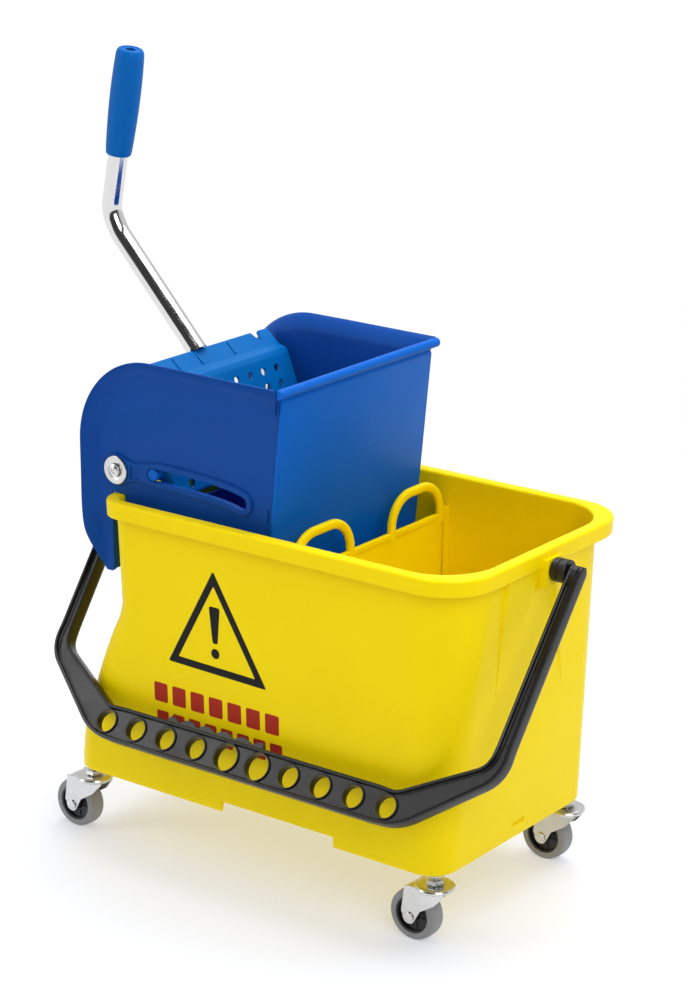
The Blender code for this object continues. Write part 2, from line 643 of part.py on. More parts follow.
def make_side_panel(name, side, wringer, materials):
    """One side panel with its flared edge, guide slot and raised rim round the slot."""
    outline = panel_outline()
    normals = inward(outline)
    rings = []
    for thickness in (0.0, PANEL_THICKNESS):
        edge, crease = [], []
        for (x, z, flare), normal in zip(outline, normals):
            inset = 0.0006 + FLARE_HEIGHT * flare
            edge.append((x, -side * (thickness - PANEL_Y - FLARE_OUT * flare), z))
            crease.append((x + normal.x * inset, -side * (thickness - PANEL_Y), z + normal.y * inset))
        rings.append((edge, crease))
    bm = bmesh.new()
    loft(bm, [rings[0][1], rings[0][0], rings[1][0], rings[1][1]])
    path = guide_path(10)
    ridge_out = PANEL_Y + 0.0024
    root_y = PANEL_Y - 0.0010
    slot_rim = side_plate(capsule(path, 0.0125), side * root_y, side * ridge_out)
    boss = side_plate(circle(LINK_PIVOT, 0.0165, 24), side * root_y, side * ridge_out)
    neck = side_plate(capsule([LINK_PIVOT, GUIDE_PIN], 0.0088), side * root_y, side * ridge_out)
    slot_edge_flange = box((RIM_SLOT_X[0] - 0.0030, min(side * 0.1050, side * 0.1120), TAIL_BOTTOM_Z + 0.001),
                           (RIM_SLOT_X[0] - 0.0001, max(side * 0.1050, side * 0.1120), RIM_Z - 0.002))
    bm = combine(bm, [slot_rim, boss, neck, slot_edge_flange], "UNION")
    through = (side * (PANEL_Y - 0.010), side * (PANEL_Y + 0.010))
    slot = side_plate(capsule(path, GUIDE_PIN_RADIUS + 0.0005), *through)
    pivot_hole = side_plate(circle(LINK_PIVOT, 0.0043, 16), *through)
    finish(name, combine(bm, [slot, pivot_hole], "DIFFERENCE"), materials["panel"], wringer)


def make_front_panel(wringer, materials):
    """Leaning front panel with a rolled top edge and a groove below the roll."""
    outer = 0.0032
    profile = []
    for z, out in ((WRINGER_BOTTOM_Z, 0.0), (WRINGER_BOTTOM_Z, outer), (0.484, outer), (0.486, 0.0016),
                   (0.488, 0.0016)):
        profile.append((front_edge_x(z) + CLEARANCE + out, z))
    roll = (front_edge_x(0.4935) + CLEARANCE + 0.0026, 0.4930)
    profile += arc(roll, ROLL_RADIUS, -60.0, 150.0, 8)
    profile.append((front_edge_x(roll[1]) + CLEARANCE, roll[1]))
    bm = side_plate(profile, -(PANEL_Y + 0.0015), PANEL_Y + 0.0015)
    roll_end = side_plate(arc(roll, ROLL_RADIUS, -112.0, 112.0, 10), -(PANEL_Y + 0.0090), PANEL_Y + 0.0090)
    finish("wringer_front_panel", combine(bm, [roll_end], "UNION"), materials["front"], wringer)


def make_basket_floor(wringer, materials):
    """Perforated drain floor and the low back panel between the side panels."""
    half_y = PANEL_Y - PANEL_THICKNESS - CLEARANCE
    floor_z = 0.246
    right_x = front_edge_x(floor_z) - 0.0012
    left_x = -0.1410
    bm = box((left_x, -half_y, floor_z), (right_x, half_y, floor_z + 0.003))
    cuts = []
    columns, rows = 5, 7
    for i in range(columns):
        for j in range(rows):
            x = left_x + 0.016 + (right_x - left_x - 0.032) * i / (columns - 1)
            y = -half_y + 0.018 + (2.0 * half_y - 0.036) * j / (rows - 1)
            cuts.append(rod(0.0050, (x, y, floor_z - 0.004), (x, y, floor_z + 0.006), 6))
    finish("wringer_drain_floor", combine(bm, cuts, "DIFFERENCE"), materials["panel"], wringer)
    back = [(-0.1445, 0.246), (-0.1415, 0.246), (-0.1475, 0.335), (-0.1505, 0.335)]
    finish("wringer_back_panel", side_plate(back, -half_y, half_y), materials["panel"], wringer)


def make_pivots(wringer, materials):
    """Screw, washer and sleeve on which the yoke turns, at each side."""
    for name, side in (("near", -1), ("far", 1)):
        face_y = PANEL_Y + 0.0024
        x, z = LINK_PIVOT
        washer = [(0.0043, 0.0), (0.0140, 0.0), (0.0140, 0.0018), (0.0043, 0.0018)]
        start = face_y + CLEARANCE if side > 0 else -(face_y + CLEARANCE + 0.0018)
        if side < 0:
            washer = [(radius, 0.0018 - height) for radius, height in reversed(washer)]
        finish("pivot_washer_" + name, turned(washer, 24, (x, start, z), "Y"), materials["zinc"], wringer)
        head_y = face_y + 2.0 * CLEARANCE + 0.0018
        head = [(0.0, 0.0), (0.0066, 0.0), (0.0066, 0.0010), (0.0050, 0.0026), (0.0022, 0.0033),
                (0.0, 0.0033)]
        if side < 0:
            head = [(radius, -height) for radius, height in reversed(head)]
        screw = turned(head, 14, (x, side * head_y, z), "Y")
        shank = rod(0.0040, (x, side * (LINK_Y[0] - 0.006), z), (x, side * (head_y + 0.0005), z), 10)
        screw = combine(screw, [shank], "UNION")
        cross = [box((x - 0.0030, side * head_y + side * 0.0022 - 0.0016, z - 0.0006),
                     (x + 0.0030, side * head_y + side * 0.0022 + 0.0016, z + 0.0006)),
                 box((x - 0.0006, side * head_y + side * 0.0022 - 0.0016, z - 0.0030),
                     (x + 0.0006, side * head_y + side * 0.0022 + 0.0016, z + 0.0030))]
        finish("pivot_screw_" + name, combine(screw, cross, "DIFFERENCE"), materials["zinc"], wringer)
        length = PANEL_Y - PANEL_THICKNESS - LINK_Y[1] - 2.0 * CLEARANCE
        sleeve = [(0.0043, 0.0), (0.0085, 0.0), (0.0085, length), (0.0043, length)]
        base_y = LINK_Y[1] + CLEARANCE if side > 0 else -(PANEL_Y - PANEL_THICKNESS - CLEARANCE)
        finish("pivot_sleeve_" + name, turned(sleeve, 14, (x, base_y, z), "Y"), materials["front"], wringer)


# ---------------------------------------------------------------- lever and yoke
def make_links(links, materials):
    """The two flat links between the pivot screws and the jaw's hinge rod."""
    for name, side in (("near", -1), ("far", 1)):
        along = Vector((JAW_HINGE[0] - LINK_PIVOT[0], JAW_HINGE[1] - LINK_PIVOT[1]))
        heading = math.degrees(math.atan2(along.y, along.x))
        outline = arc(LINK_PIVOT, LINK_ENDS[0], heading + 90.0, heading + 270.0, 8)
        outline += arc(JAW_HINGE, LINK_ENDS[1], heading - 90.0, heading + 90.0, 8)
        bm = side_plate(outline, side * LINK_Y[0], side * LINK_Y[1])
        span = (side * (LINK_Y[0] - 0.004), side * (LINK_Y[1] + 0.004))
        holes = [side_plate(circle(LINK_PIVOT, 0.0043, 16), *span),
                 side_plate(circle(JAW_HINGE, HINGE_ROD_RADIUS + CLEARANCE, 12), *span)]
        finish("press_link_" + name, combine(bm, holes, "DIFFERENCE"), materials["zinc"], links)


def rounded_path(points, steps):
    """A smooth curve through the points (Catmull-Rom)."""
    padded = [points[0]] + list(points) + [points[-1]]
    result = []
    for i in range(1, len(padded) - 2):
        p0, p1, p2, p3 = (Vector(p) for p in padded[i - 1:i + 3])
        for step in range(steps):
            t = step / steps
            result.append(0.5 * ((2 * p1) + (p2 - p0) * t + (2 * p0 - 5 * p1 + 4 * p2 - p3) * t * t
                                 + (3 * p1 - p0 - 3 * p2 + p3) * t ** 3))
    result.append(Vector(padded[-1]))
    return result


def tube_line():
    """Middle line of the bent lever tube: two straight runs joined by a bend."""
    lower_end, bend_start, bend_top, upper_start, upper_end = TUBE_POINTS
    path = [Vector(lower_end)]
    bend = [bend_start, (-0.2590, 0.5900), bend_top, upper_start]
    path += rounded_path(bend, 3)
    path.append(Vector(upper_end))
    return path


def sweep(path, radius_at, segments):
    """Round section swept along an (x, z) path in the middle plane."""
    rings = []
    for i, point in enumerate(path):
        before, after = path[max(i - 1, 0)], path[min(i + 1, len(path) - 1)]
        along = (Vector(after) - Vector(before)).normalized()
        across = Vector((along.y, -along.x))
        radius = radius_at(i)
        rings.append([(point[0] + across.x * a, b, point[1] + across.y * a)
                      for a, b in circle((0.0, 0.0), radius, segments)])
    return rings


def make_lever(lever, materials):
    """Chrome tube with a flattened end, the rubbery grip and the bolt that holds the tube."""
    path = tube_line()
    outer = sweep(path, lambda i: TUBE_RADIUS, 12)
    inner = sweep(path, lambda i: TUBE_RADIUS - TUBE_WALL, 12)
    bm = bmesh.new()
    loft(bm, outer + list(reversed(inner)), closed=True)
    tang_low, tang_high = TANG
    direction = (tang_high - tang_low).normalized()
    across = Vector((direction.y, -direction.x))
    half = 0.0016
    outline = [tang_low + across * half, tang_high + across * half, tang_high - across * half,
               tang_low - across * half]
    tang = side_plate([(p.x, p.y) for p in outline], -0.0080, 0.0080)
    saddle = [(-0.1583, 0.4400), (-0.1583, 0.4822), (-0.1560, 0.4820), (-0.1400, 0.4690), (-0.1200, 0.4400)]
    bm = combine(bm, [side_plate(saddle, -0.020, 0.020)], "DIFFERENCE")
    bm = combine(bm, [tang], "UNION")
    hole = rod(BOLT_RADIUS + CLEARANCE, bolt_point(-0.006), bolt_point(0.016), 12)
    finish("lever_tube", combine(bm, [hole], "DIFFERENCE"), materials["chrome"], lever)
    shank = rod(BOLT_RADIUS, bolt_point(0.0036), bolt_point(0.0112), 12)
    head = rod(BOLT_RADIUS * 1.9, bolt_point(0.0104), bolt_point(0.0134), 6)
    finish("lever_bolt", combine(shank, [head], "UNION"), materials["zinc"], lever)

    start, end = Vector(GRIP_POINTS[0]), Vector(GRIP_POINTS[1])
    length = (end - start).length
    bore = TUBE_RADIUS + CLEARANCE
    profile = [(bore, 0.0), (0.0126, 0.0), (0.0133, 0.0012), (0.0142, 0.016), (0.0150, 0.045),
               (0.0147, 0.075), (0.0137, length - 0.009), (0.0127, length - 0.0045),
               (0.0095, length - 0.0012), (0.0050, length), (0.0050, 0.020), (bore, 0.020)]
    grip = turned(profile, 16, (0.0, 0.0, 0.0))
    turn = Vector((end.x - start.x, 0.0, end.y - start.y)).to_track_quat("Z", "Y").to_matrix().to_4x4()
    grip.transform(Matrix.Translation((start.x, 0.0, start.y)) @ turn)
    finish("lever_grip", grip, materials["grip"], lever)


# ---------------------------------------------------------------- press jaw
def bolt_point(depth):
    """A point on the lever bolt's axis, at a depth below the hood's upper face."""
    below = HOOD_BACK + Vector((0.0045, -0.0038)) - HOOD_NORMAL * depth
    return (below[0], 0.0, below[1])


def jaw_profile():
    """Sheet section of the jaw: hood, crease, rounded step and the long pressing face."""
    down = Vector((math.sin(math.radians(JAW_LEAN_DEG)), -math.cos(math.radians(JAW_LEAN_DEG))))
    out = Vector((-down.y, down.x))
    top = Vector(JAW_TOP)
    foot = top + down * JAW_LENGTH
    outer = [HOOD_BACK, Vector((-0.1410, 0.4674)), Vector((-0.1375, 0.4662)), top,
             top + down * 0.0030 + out * 0.0012, top + down * 0.0070 + out * 0.0016, foot - down * 0.0030,
             foot - out * 0.0020, foot - out * 0.0100]
    inner = [foot - out * 0.0100 - down * 0.0028, foot - out * JAW_SHEET - down * 0.0034,
             top + down * 0.0070 + out * (0.0016 - JAW_SHEET), top + down * 0.0020 - out * 0.0036,
             Vector((-0.1380, 0.4636)), Vector((-0.1420, 0.4651)), HOOD_BACK + Vector((-0.0010, -0.0030))]
    return [(point[0], point[1]) for point in outer + inner], top, down, out


def make_jaw(jaw, materials):
    """Press jaw: hood, perforated face, end ears and ribs; with its hinge rod and two guide pins."""
    profile, top, down, out = jaw_profile()
    bm = side_plate(profile, -JAW_HALF_WIDTH, JAW_HALF_WIDTH)
    parts = []
    for side in (-1, 1):
        ear = [top + down * 0.004 - out * 0.001, top + down * 0.094 - out * 0.001,
               Vector(GUIDE_PIN) + Vector((0.0040, -0.0085)), Vector(GUIDE_PIN) + Vector((-0.0060, -0.0060)),
               Vector(GUIDE_PIN) + Vector((-0.0085, 0.0020)), Vector(JAW_HINGE) + Vector((-0.0060, -0.0030)),
               Vector((-0.1555, 0.4770)), HOOD_BACK + Vector((0.0020, -0.0020)), Vector((-0.1400, 0.4655))]
        parts.append(side_plate([(p[0], p[1]) for p in ear], side * JAW_EAR_Y[0], side * JAW_EAR_Y[1]))
    for y in RIB_PLACES:
        rib = [top + down * 0.018 - out * 0.0005, top + down * (JAW_LENGTH - 0.004) - out * 0.0015,
               top + down * (JAW_LENGTH - 0.004) - out * 0.009, top + down * 0.026 - out * 0.009]
        parts.append(side_plate([(p.x, p.y) for p in rib], y - 0.0015, y + 0.0015))
        hood_rib = [(-0.1545, 0.4775), (-0.1540, 0.4806), (-0.1430, 0.4710), (-0.1425, 0.4680)]
        parts.append(side_plate(hood_rib, y * 0.8 - 0.0012, y * 0.8 + 0.0012))
    pad = [(-0.1570, 0.4790), (-0.1480, 0.4722), (-0.1502, 0.4682), (-0.1570, 0.4741)]
    parts.append(side_plate(pad, -0.0080, 0.0080))
    bm = combine(bm, parts, "UNION")
    cuts = [rod(BOLT_RADIUS + CLEARANCE, bolt_point(0.0032), bolt_point(0.014), 12)]
    for side in (-1, 1):
        span = (side * (JAW_EAR_Y[0] - 0.004), side * (JAW_EAR_Y[1] + 0.004))
        cuts.append(side_plate(circle(JAW_HINGE, HINGE_ROD_RADIUS + CLEARANCE, 12), *span))
        cuts.append(side_plate(circle(GUIDE_PIN, 0.0038, 14), *span))
        notch_y = side * 0.0860
        notch = bmesh.new()
        loft(notch, [[(x, notch_y - 0.0070, 0.4900), (x, notch_y, 0.4745), (x, notch_y + 0.0050, 0.4900)]
                     for x in (-0.1640, -0.1480)])
        cuts.append(notch)
    for row in range(HOLE_ROWS):
        centre = top + down * (0.0175 + row * HOLE_PITCH[1])
        start, end = centre + out * 0.004, centre - out * 0.005
        for column in range(HOLE_COLUMNS):
            y = (column - (HOLE_COLUMNS - 1) / 2.0) * HOLE_PITCH[0]
            cuts.append(rod(HOLE_RADIUS, (start.x, y, start.y), (end.x, y, end.y), 8))
    finish("press_jaw", combine(bm, cuts, "DIFFERENCE"), materials["jaw"], jaw)

    half = JAW_EAR_Y[1] - 0.0004
    x, z = JAW_HINGE
    hinge_rod = rod(HINGE_ROD_RADIUS, (x, -half, z), (x, half, z), 12)
    finish("jaw_hinge_rod", hinge_rod, materials["zinc"], jaw)
    for name, side in (("near", -1), ("far", 1)):
        x, z = GUIDE_PIN
        pin = rod(GUIDE_PIN_RADIUS, (x, side * (JAW_EAR_Y[1] + CLEARANCE), z),
                  (x, side * (PANEL_Y + 0.0020), z), 20, 0.0006)
        stub = rod(0.0035, (x, side * (JAW_EAR_Y[0] - 0.001), z), (x, side * (JAW_EAR_Y[1] + 0.002), z), 14)
        finish("guide_pin_" + name, combine(pin, [stub], "UNION"), materials["front"], jaw)


# ---------------------------------------------------------------- casters
def make_fork(name, centre, caster, materials):
    """Pressed fork: a dished round head, two cheeks and the webs that join them."""
    x, y = centre
    head = [(0.0058, 0.0), (HEAD_RADIUS - 0.0015, 0.0), (HEAD_RADIUS, 0.0015), (HEAD_RADIUS, 0.0048),
            (HEAD_RADIUS - 0.0018, 0.0048), (HEAD_RADIUS - 0.0018, 0.0020), (0.0058, 0.0020)]
    head_z = FORK_TOP_Z - 0.0048
    bm = turned(head, 20, (x, y, head_z))
    axle = (x - CASTER_TRAIL, WHEEL_RADIUS)
    parts = []
    roof_half = FORK_INNER_HALF + FORK_SHEET
    roof = [(x - 0.0255, head_z + 0.0005), (x - 0.0215, head_z + 0.0018), (x - 0.0100, head_z + 0.0018),
            (x - 0.0100, head_z + 0.0002), (x - 0.0250, head_z - 0.0012)]
    parts.append(side_plate(roof, y - roof_half, y + roof_half))
    cheek = [(x - 0.0255, head_z + 0.0010), (x - 0.0290, 0.0300)]
    cheek += arc(axle, 0.0062, 170.0, 315.0, 4)
    cheek += [(x - 0.0085, 0.0330), (x + 0.0060, 0.0420), (x + 0.0155, head_z + 0.0002),
              (x + 0.0100, head_z + 0.0010)]
    for side in (-1, 1):
        inner = y + side * FORK_INNER_HALF
        outer = y + side * (FORK_INNER_HALF + FORK_SHEET)
        parts.append(side_plate(cheek, inner, outer))
    bm = combine(bm, parts, "UNION")
    hole = rod(AXLE_RADIUS - 0.0006, (axle[0], y - 0.020, axle[1]), (axle[0], y + 0.020, axle[1]), 10)
    bm = combine(bm, [hole], "DIFFERENCE")
    finish(name + "_fork", bm, materials["zinc"], caster)


def make_wheel(name, centre, wheel, materials):
    """Black hub and grey tyre."""
    x, y = centre[0] - CASTER_TRAIL, centre[1]
    half = TYRE_WIDTH / 2.0
    hub_radius = 0.0178
    bore = AXLE_RADIUS
    hub = [(bore, -0.0098), (0.0070, -0.0098), (0.0074, -0.0045), (0.0155, -0.0045), (0.0155, -half + 0.0005),
           (hub_radius, -half + 0.0005), (hub_radius, half - 0.0005), (0.0155, half - 0.0005),
           (0.0155, 0.0045), (0.0074, 0.0045), (0.0070, 0.0098), (bore, 0.0098)]
    finish(name + "_hub", turned(hub, 18, (x, y, WHEEL_RADIUS), "Y"), materials["black"], wheel)
    inner = hub_radius + CLEARANCE
    tyre = [(inner, -half), (WHEEL_RADIUS - 0.0030, -half), (WHEEL_RADIUS, -half + 0.0036),
            (WHEEL_RADIUS, half - 0.0036), (WHEEL_RADIUS - 0.0030, half), (inner, half)]
    tread = turned(tyre, 32, (x, y, WHEEL_RADIUS), "Y", phase=0.5)
    finish(name + "_tyre", tread, materials["tyre"], wheel)


def make_caster(name, sx, sy, root, materials):
    """One swivel caster: fixed stud, turning fork and axle, rolling hub and tyre."""
    x, y = sx * CASTER_X, sy * CASTER_Y
    stud = rod(STUD_RADIUS, (x, y, FORK_TOP_Z - 0.0040), (x, y, BASE_Z + 0.0080), 12)
    nut = turned([(0.0, 0.0), (0.0088, 0.0), (0.0088, 0.0055), (0.0, 0.0055)], 6, (x, y, FORK_TOP_Z + 0.0008))
    washer_z = FORK_TOP_Z + 0.0060
    height = BASE_Z - CLEARANCE - washer_z
    washer = turned([(0.0, 0.0), (0.0100, 0.0), (0.0100, height), (0.0, height)], 16, (x, y, washer_z))
    finish(name + "_stem", combine(stud, [nut, washer], "UNION"), materials["zinc"], root)

    swivel = body(name + "_swivel", (x, y, FORK_TOP_Z), root)
    make_fork(name, (x, y), swivel, materials)
    axle_x = x - CASTER_TRAIL
    z = WHEEL_RADIUS
    shaft = rod(AXLE_RADIUS - 0.0009, (axle_x, y - 0.0138, z), (axle_x, y + 0.0138, z), 10)
    heads = []
    for side in (-1, 1):
        base = y + side * (FORK_INNER_HALF + FORK_SHEET + CLEARANCE)
        heads.append(rod(0.0048, (axle_x, base, z), (axle_x, base + side * 0.0014, z), 12))
    finish(name + "_axle", combine(shaft, heads, "UNION"), materials["zinc"], swivel)
    wheel = body(name + "_wheel", (axle_x, y, WHEEL_RADIUS), swivel)
    make_wheel(name, (x, y), wheel, materials)


# ---------------------------------------------------------------- whole object
def stand_on_origin(root_empty):
    """Move the whole object so that its bounding box stands centred on the origin."""
    bpy.context.view_layer.update()
    corners = []
    for item in bpy.data.objects:
        if item.type == "MESH":
            corners += [item.matrix_world @ vert.co for vert in item.data.vertices]
    low = [min(corner[i] for corner in corners) for i in range(3)]
    high = [max(corner[i] for corner in corners) for i in range(3)]
    root_empty.location = (-(low[0] + high[0]) / 2.0, -(low[1] + high[1]) / 2.0, -low[2])


def main():
    for item in list(bpy.data.objects):
        bpy.data.objects.remove(item)
    materials = make_materials()
    root = body("root", (0.0, 0.0, 0.0))
    make_bucket(root, materials)
    make_bail_pivots(root, materials)
    for name, sx, sy in (("caster_right_near", 1, -1), ("caster_right_far", 1, 1),
                         ("caster_left_near", -1, -1), ("caster_left_far", -1, 1)):
        make_caster(name, sx, sy, root, materials)
    make_bail(body("bail", (BAIL_CENTRE_X, 0.0, BAIL_PIVOT_Z), root), materials)
    make_divider(body("divider_slide", (DIVIDER_X, 0.0, FLOOR_TOP_Z), root), materials)
    wringer = body("wringer", (LINK_PIVOT[0], 0.0, WRINGER_BOTTOM_Z), root)
    make_side_panel("wringer_side_near", -1, wringer, materials)
    make_side_panel("wringer_side_far", 1, wringer, materials)
    make_front_panel(wringer, materials)
    make_basket_floor(wringer, materials)
    make_pivots(wringer, materials)
    links = body("links", (LINK_PIVOT[0], 0.0, LINK_PIVOT[1]), wringer)
    make_links(links, materials)
    jaw = body("jaw", (JAW_HINGE[0], 0.0, JAW_HINGE[1]), links)
    make_jaw(jaw, materials)
    make_lever(jaw, materials)
    stand_on_origin(root["empty"])


main()
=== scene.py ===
"""Looks of a wheeled mop bucket with a carrying bail, a lift-out divider and a lever-operated press wringer.

Every piece is drawn in the maker's drawing frame (metres, +Z up, +X towards the clean-water end, Y across).
Its origin is on the floor below the middle of the bucket's base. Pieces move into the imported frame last.
"""

import json
import math

import bmesh
import bpy
from bpy.props import FloatProperty, FloatVectorProperty, IntProperty, PointerProperty
from mathutils import Matrix, Vector


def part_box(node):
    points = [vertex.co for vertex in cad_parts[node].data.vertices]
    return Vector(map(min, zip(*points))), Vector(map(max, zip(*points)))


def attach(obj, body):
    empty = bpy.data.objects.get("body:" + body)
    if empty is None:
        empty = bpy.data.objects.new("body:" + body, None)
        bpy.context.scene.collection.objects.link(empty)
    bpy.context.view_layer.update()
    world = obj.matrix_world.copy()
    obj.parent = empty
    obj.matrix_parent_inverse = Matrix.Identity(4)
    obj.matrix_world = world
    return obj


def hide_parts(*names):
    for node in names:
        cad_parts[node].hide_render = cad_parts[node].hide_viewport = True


bl_info = {
    "name": "Mop Bucket Looks",
    "version": (1, 0, 0),
    "blender": (4, 5, 0),
    "location": "View3D > Sidebar > Mop Bucket",
    "description": "Builds the detailed surfaces and finishes of a wheeled mop bucket with a press wringer",
    "category": "Object",
}

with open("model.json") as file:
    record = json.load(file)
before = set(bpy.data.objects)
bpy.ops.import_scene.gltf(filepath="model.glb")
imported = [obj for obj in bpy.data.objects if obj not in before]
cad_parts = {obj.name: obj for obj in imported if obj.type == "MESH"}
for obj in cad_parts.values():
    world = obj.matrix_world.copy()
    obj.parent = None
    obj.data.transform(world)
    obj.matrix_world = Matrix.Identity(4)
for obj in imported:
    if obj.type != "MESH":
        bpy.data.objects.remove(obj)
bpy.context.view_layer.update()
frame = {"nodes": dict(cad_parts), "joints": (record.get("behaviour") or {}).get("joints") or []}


def joint_place(name):
    """Point on a joint's axis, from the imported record."""
    for joint in frame["joints"]:
        if joint["name"] == name:
            return Vector(joint["pos_m"])
    raise LookupError(name)


# ---------------------------------------------------------------- drawing dimensions (metres)
BASE_Z, RIM_Z = 0.071, 0.361
LIP_DROP, LIP_OUT, LIP_SHEET = 0.016, 0.0095, 0.0030
WALL = 0.0038
BASE_HALF_LENGTH, BASE_HALF_WIDTH, TOP_HALF_WIDTH = 0.223, 0.125, 0.130
RIGHT_TOP_X, LEFT_WALL_X = 0.244, -0.160
LEFT_PROFILE = (
    (0.071, -0.2230, 0.0280), (0.100, -0.2210, 0.0290), (0.122, -0.2165, 0.0300), (0.150, -0.2070, 0.0310),
    (0.180, -0.1955, 0.0300), (0.205, -0.1840, 0.0280), (0.225, -0.1735, 0.0255), (0.240, -0.1650, 0.0240),
    (0.252, -0.1610, 0.0230), (0.264, -0.1600, 0.0220), (0.361, -0.1600, 0.0170))
RIGHT_BASE_RADIUS, RIGHT_TOP_RADIUS, LIP_CORNER_TIGHTER = 0.028, 0.056, 0.016
FLOOR_UNDERSIDE_Z, FLOOR_TOP_Z = 0.082, 0.086
SKIRT_NOTCH = (-0.032, 0.103)
GUSSET_LOW_Z, PILLAR_HALF, PILLAR_FOOT_Z = 0.195, 0.034, 0.128

BAIL_AXIS = Vector((0.0185, 0.0, 0.342))
BAIL_PIVOT_HALF, BAIL_RADIUS, BAIL_LEAN_DEG = 0.2630, 0.250, 36.8
BAIL_THICKNESS = 0.0145
BAIL_LINE = ((0.2630, 0.0), (0.2588, 0.194), (0.1760, 0.2500), (0.0, 0.2500))
BAIL_WIDTHS = ((0.0, 0.0138), (0.17, 0.0152), (0.21, 0.0205), (0.275, 0.0310), (0.315, 0.0350), (0.6, 0.0350))
BOSS_FACE_HALF, PIN_RADIUS = 0.2400, 0.0050
BAIL_HOLES, BAIL_HOLE_SPAN = 10, (-0.1685, 0.1650)
BAIL_HOLE_RADIUS, BAIL_MIDDLE_HOLE_RADIUS, BAIL_COLLAR_HALF = 0.0107, 0.0130, 0.0042

DIVIDER_X, DIVIDER_TOP_Z, HOOP_TOP_Z = 0.048, 0.324, 0.361
HOOPS = ((-0.069, 0.094), (0.078, 0.088))
HOOP_STRIP, HOOP_DEPTH = 0.0090, 0.0066
DIVIDER_THICKNESS = 0.0036

PANEL_Y, PANEL_THICKNESS = 0.113, 0.003
FLARE_OUT, FLARE_HEIGHT = 0.012, 0.015
WRINGER_TOP_Z, WRINGER_BOTTOM_Z = 0.4975, 0.238
FRONT_TOP_X, FRONT_LEAN = 0.037, 0.1016
PANEL_LEFT_X, PANEL_CORNER = -0.2005, 0.088
TAIL_BOTTOM_Z, RIM_SLOT_X = 0.281, (-0.1712, -0.1540)
ROLL_RADIUS = 0.0046
PAD_OUT = 0.0024

LINK_PIVOT, JAW_HINGE, GUIDE_PIN = (-0.163, 0.385), (-0.143, 0.460), (-0.118, 0.3878)
LINK_TRAVEL_DEG, JAW_RATIO, SLOT_OVERRUN = 60.0, -1.885, 0.0050
SLOT_HALF, PAD_HALF, PAD_WAIST, PAD_HEAD = 0.0065, 0.0125, 0.0088, 0.0165
JAW_TOP, JAW_LEAN_DEG, JAW_LENGTH, JAW_HALF = (-0.1330, 0.4655), 21.8, 0.106, 0.1050
JAW_EAR_Y, JAW_SHEET = (0.1010, 0.1050), 0.0030
HOOD_BACK = (-0.1570, 0.4810)
HOLE_ROWS, HOLE_COLUMNS, HOLE_PITCH, HOLE_RADIUS = 6, 9, (0.0205, 0.0158), 0.0041
RIB_PLACES = (-0.0512, -0.0102, 0.0512)
FIN_DEPTH = 0.0125

TUBE_RADIUS, TUBE_WALL = 0.0100, 0.0013
TUBE_LINE = ((-0.1572, 0.4780), (-0.2560, 0.5838), (-0.2655, 0.6040), (-0.25105, 0.6770))
GRIP_LINE = ((-0.2542, 0.6600), (-0.2350, 0.7640))

CASTER_X, CASTER_Y, WHEEL_RADIUS, TYRE_WIDTH = 0.208, 0.109, 0.025, 0.0175
CASTER_TRAIL, FORK_INNER, FORK_SHEET, FORK_TOP_Z = 0.0205, 0.0110, 0.0020, 0.0590
HEAD_RADIUS, STUD_RADIUS = 0.0185, 0.0050
CASTERS = {"right_near": (1, -1), "right_far": (1, 1), "left_near": (-1, -1), "left_far": (-1, 1)}

SIGN_APEX, SIGN_BASE = (-0.0335, 0.3140), ((-0.0910, 0.2125), (0.0275, 0.2100))
SIGN_STROKE = 0.0074
BAR_ROWS = ((0.1672, 0.1868, -0.1105, 7), (0.1388, 0.1582, -0.1080, 8))
BAR_PITCH, BAR_WIDTH = 0.0226, 0.0165
PRINT_OUT = 0.00012

DRAWING_SHIFT = joint_place("bail_swing") - BAIL_AXIS

# PAPER_GLOW is the floor's painted glow near the object, which lifts the floor's shadows
PAPER_GLOW, DARK_SIDE = 0.40, 0.05
CAMERA_PLACE = Vector((1.5196, -1.9693, 1.1461))
CAMERA_AZIMUTH_DEG, CAMERA_ELEVATION_DEG, CAMERA_LENS = 37.3, 17.6, 99.0


# ---------------------------------------------------------------- shape helpers
def arc(centre, radius, start_deg, end_deg, steps):
    """Points on a circular arc, both ends included."""
    points = []
    for i in range(steps + 1):
        angle = math.radians(start_deg + (end_deg - start_deg) * i / steps)
        points.append((centre[0] + radius * math.cos(angle), centre[1] + radius * math.sin(angle)))
    return points


def circle(centre, radius, steps):
    """Points of a full circle without a repeated last point."""
    return arc(centre, radius, 0.0, 360.0, steps)[:-1]


def fillet(points, radius, steps=5, closed=True):
    """Round the corners of a 2D outline; radius is one number or one for each point."""
    count = len(points)
    radii = list(radius) if isinstance(radius, (list, tuple)) else [radius] * count
    rounded = []
    for i in range(count):
        here = Vector(points[i])
        if radii[i] <= 0.0 or (not closed and i in (0, count - 1)):
            rounded.append(tuple(here))
            continue
        before = Vector(points[i - 1]) - here
        after = Vector(points[(i + 1) % count]) - here
        angle = before.angle(after)
        reach = radii[i] / math.tan(angle / 2.0)
        reach = min(reach, 0.48 * before.length, 0.48 * after.length)
        start = here + before.normalized() * reach
        end = here + after.normalized() * reach
        for k in range(steps + 1):
            t = k / steps
            rounded.append(tuple((1 - t) ** 2 * start + 2 * t * (1 - t) * here + t ** 2 * end))
    return rounded


def smooth_curve(points, steps):
    """Catmull-Rom curve through points of any dimension."""
    padded = [points[0]] + list(points) + [points[-1]]
    result = []
    for i in range(1, len(padded) - 2):
        rows = padded[i - 1:i + 3]
        for step in range(steps):
            t = step / steps
            weights = (-t + 2 * t ** 2 - t ** 3, 2 - 5 * t ** 2 + 3 * t ** 3, t + 4 * t ** 2 - 3 * t ** 3,
                       -t ** 2 + t ** 3)
            result.append(tuple(0.5 * sum(w * row[k] for w, row in zip(weights, rows))
                                for k in range(len(points[0]))))
    result.append(tuple(points[-1]))
    return result


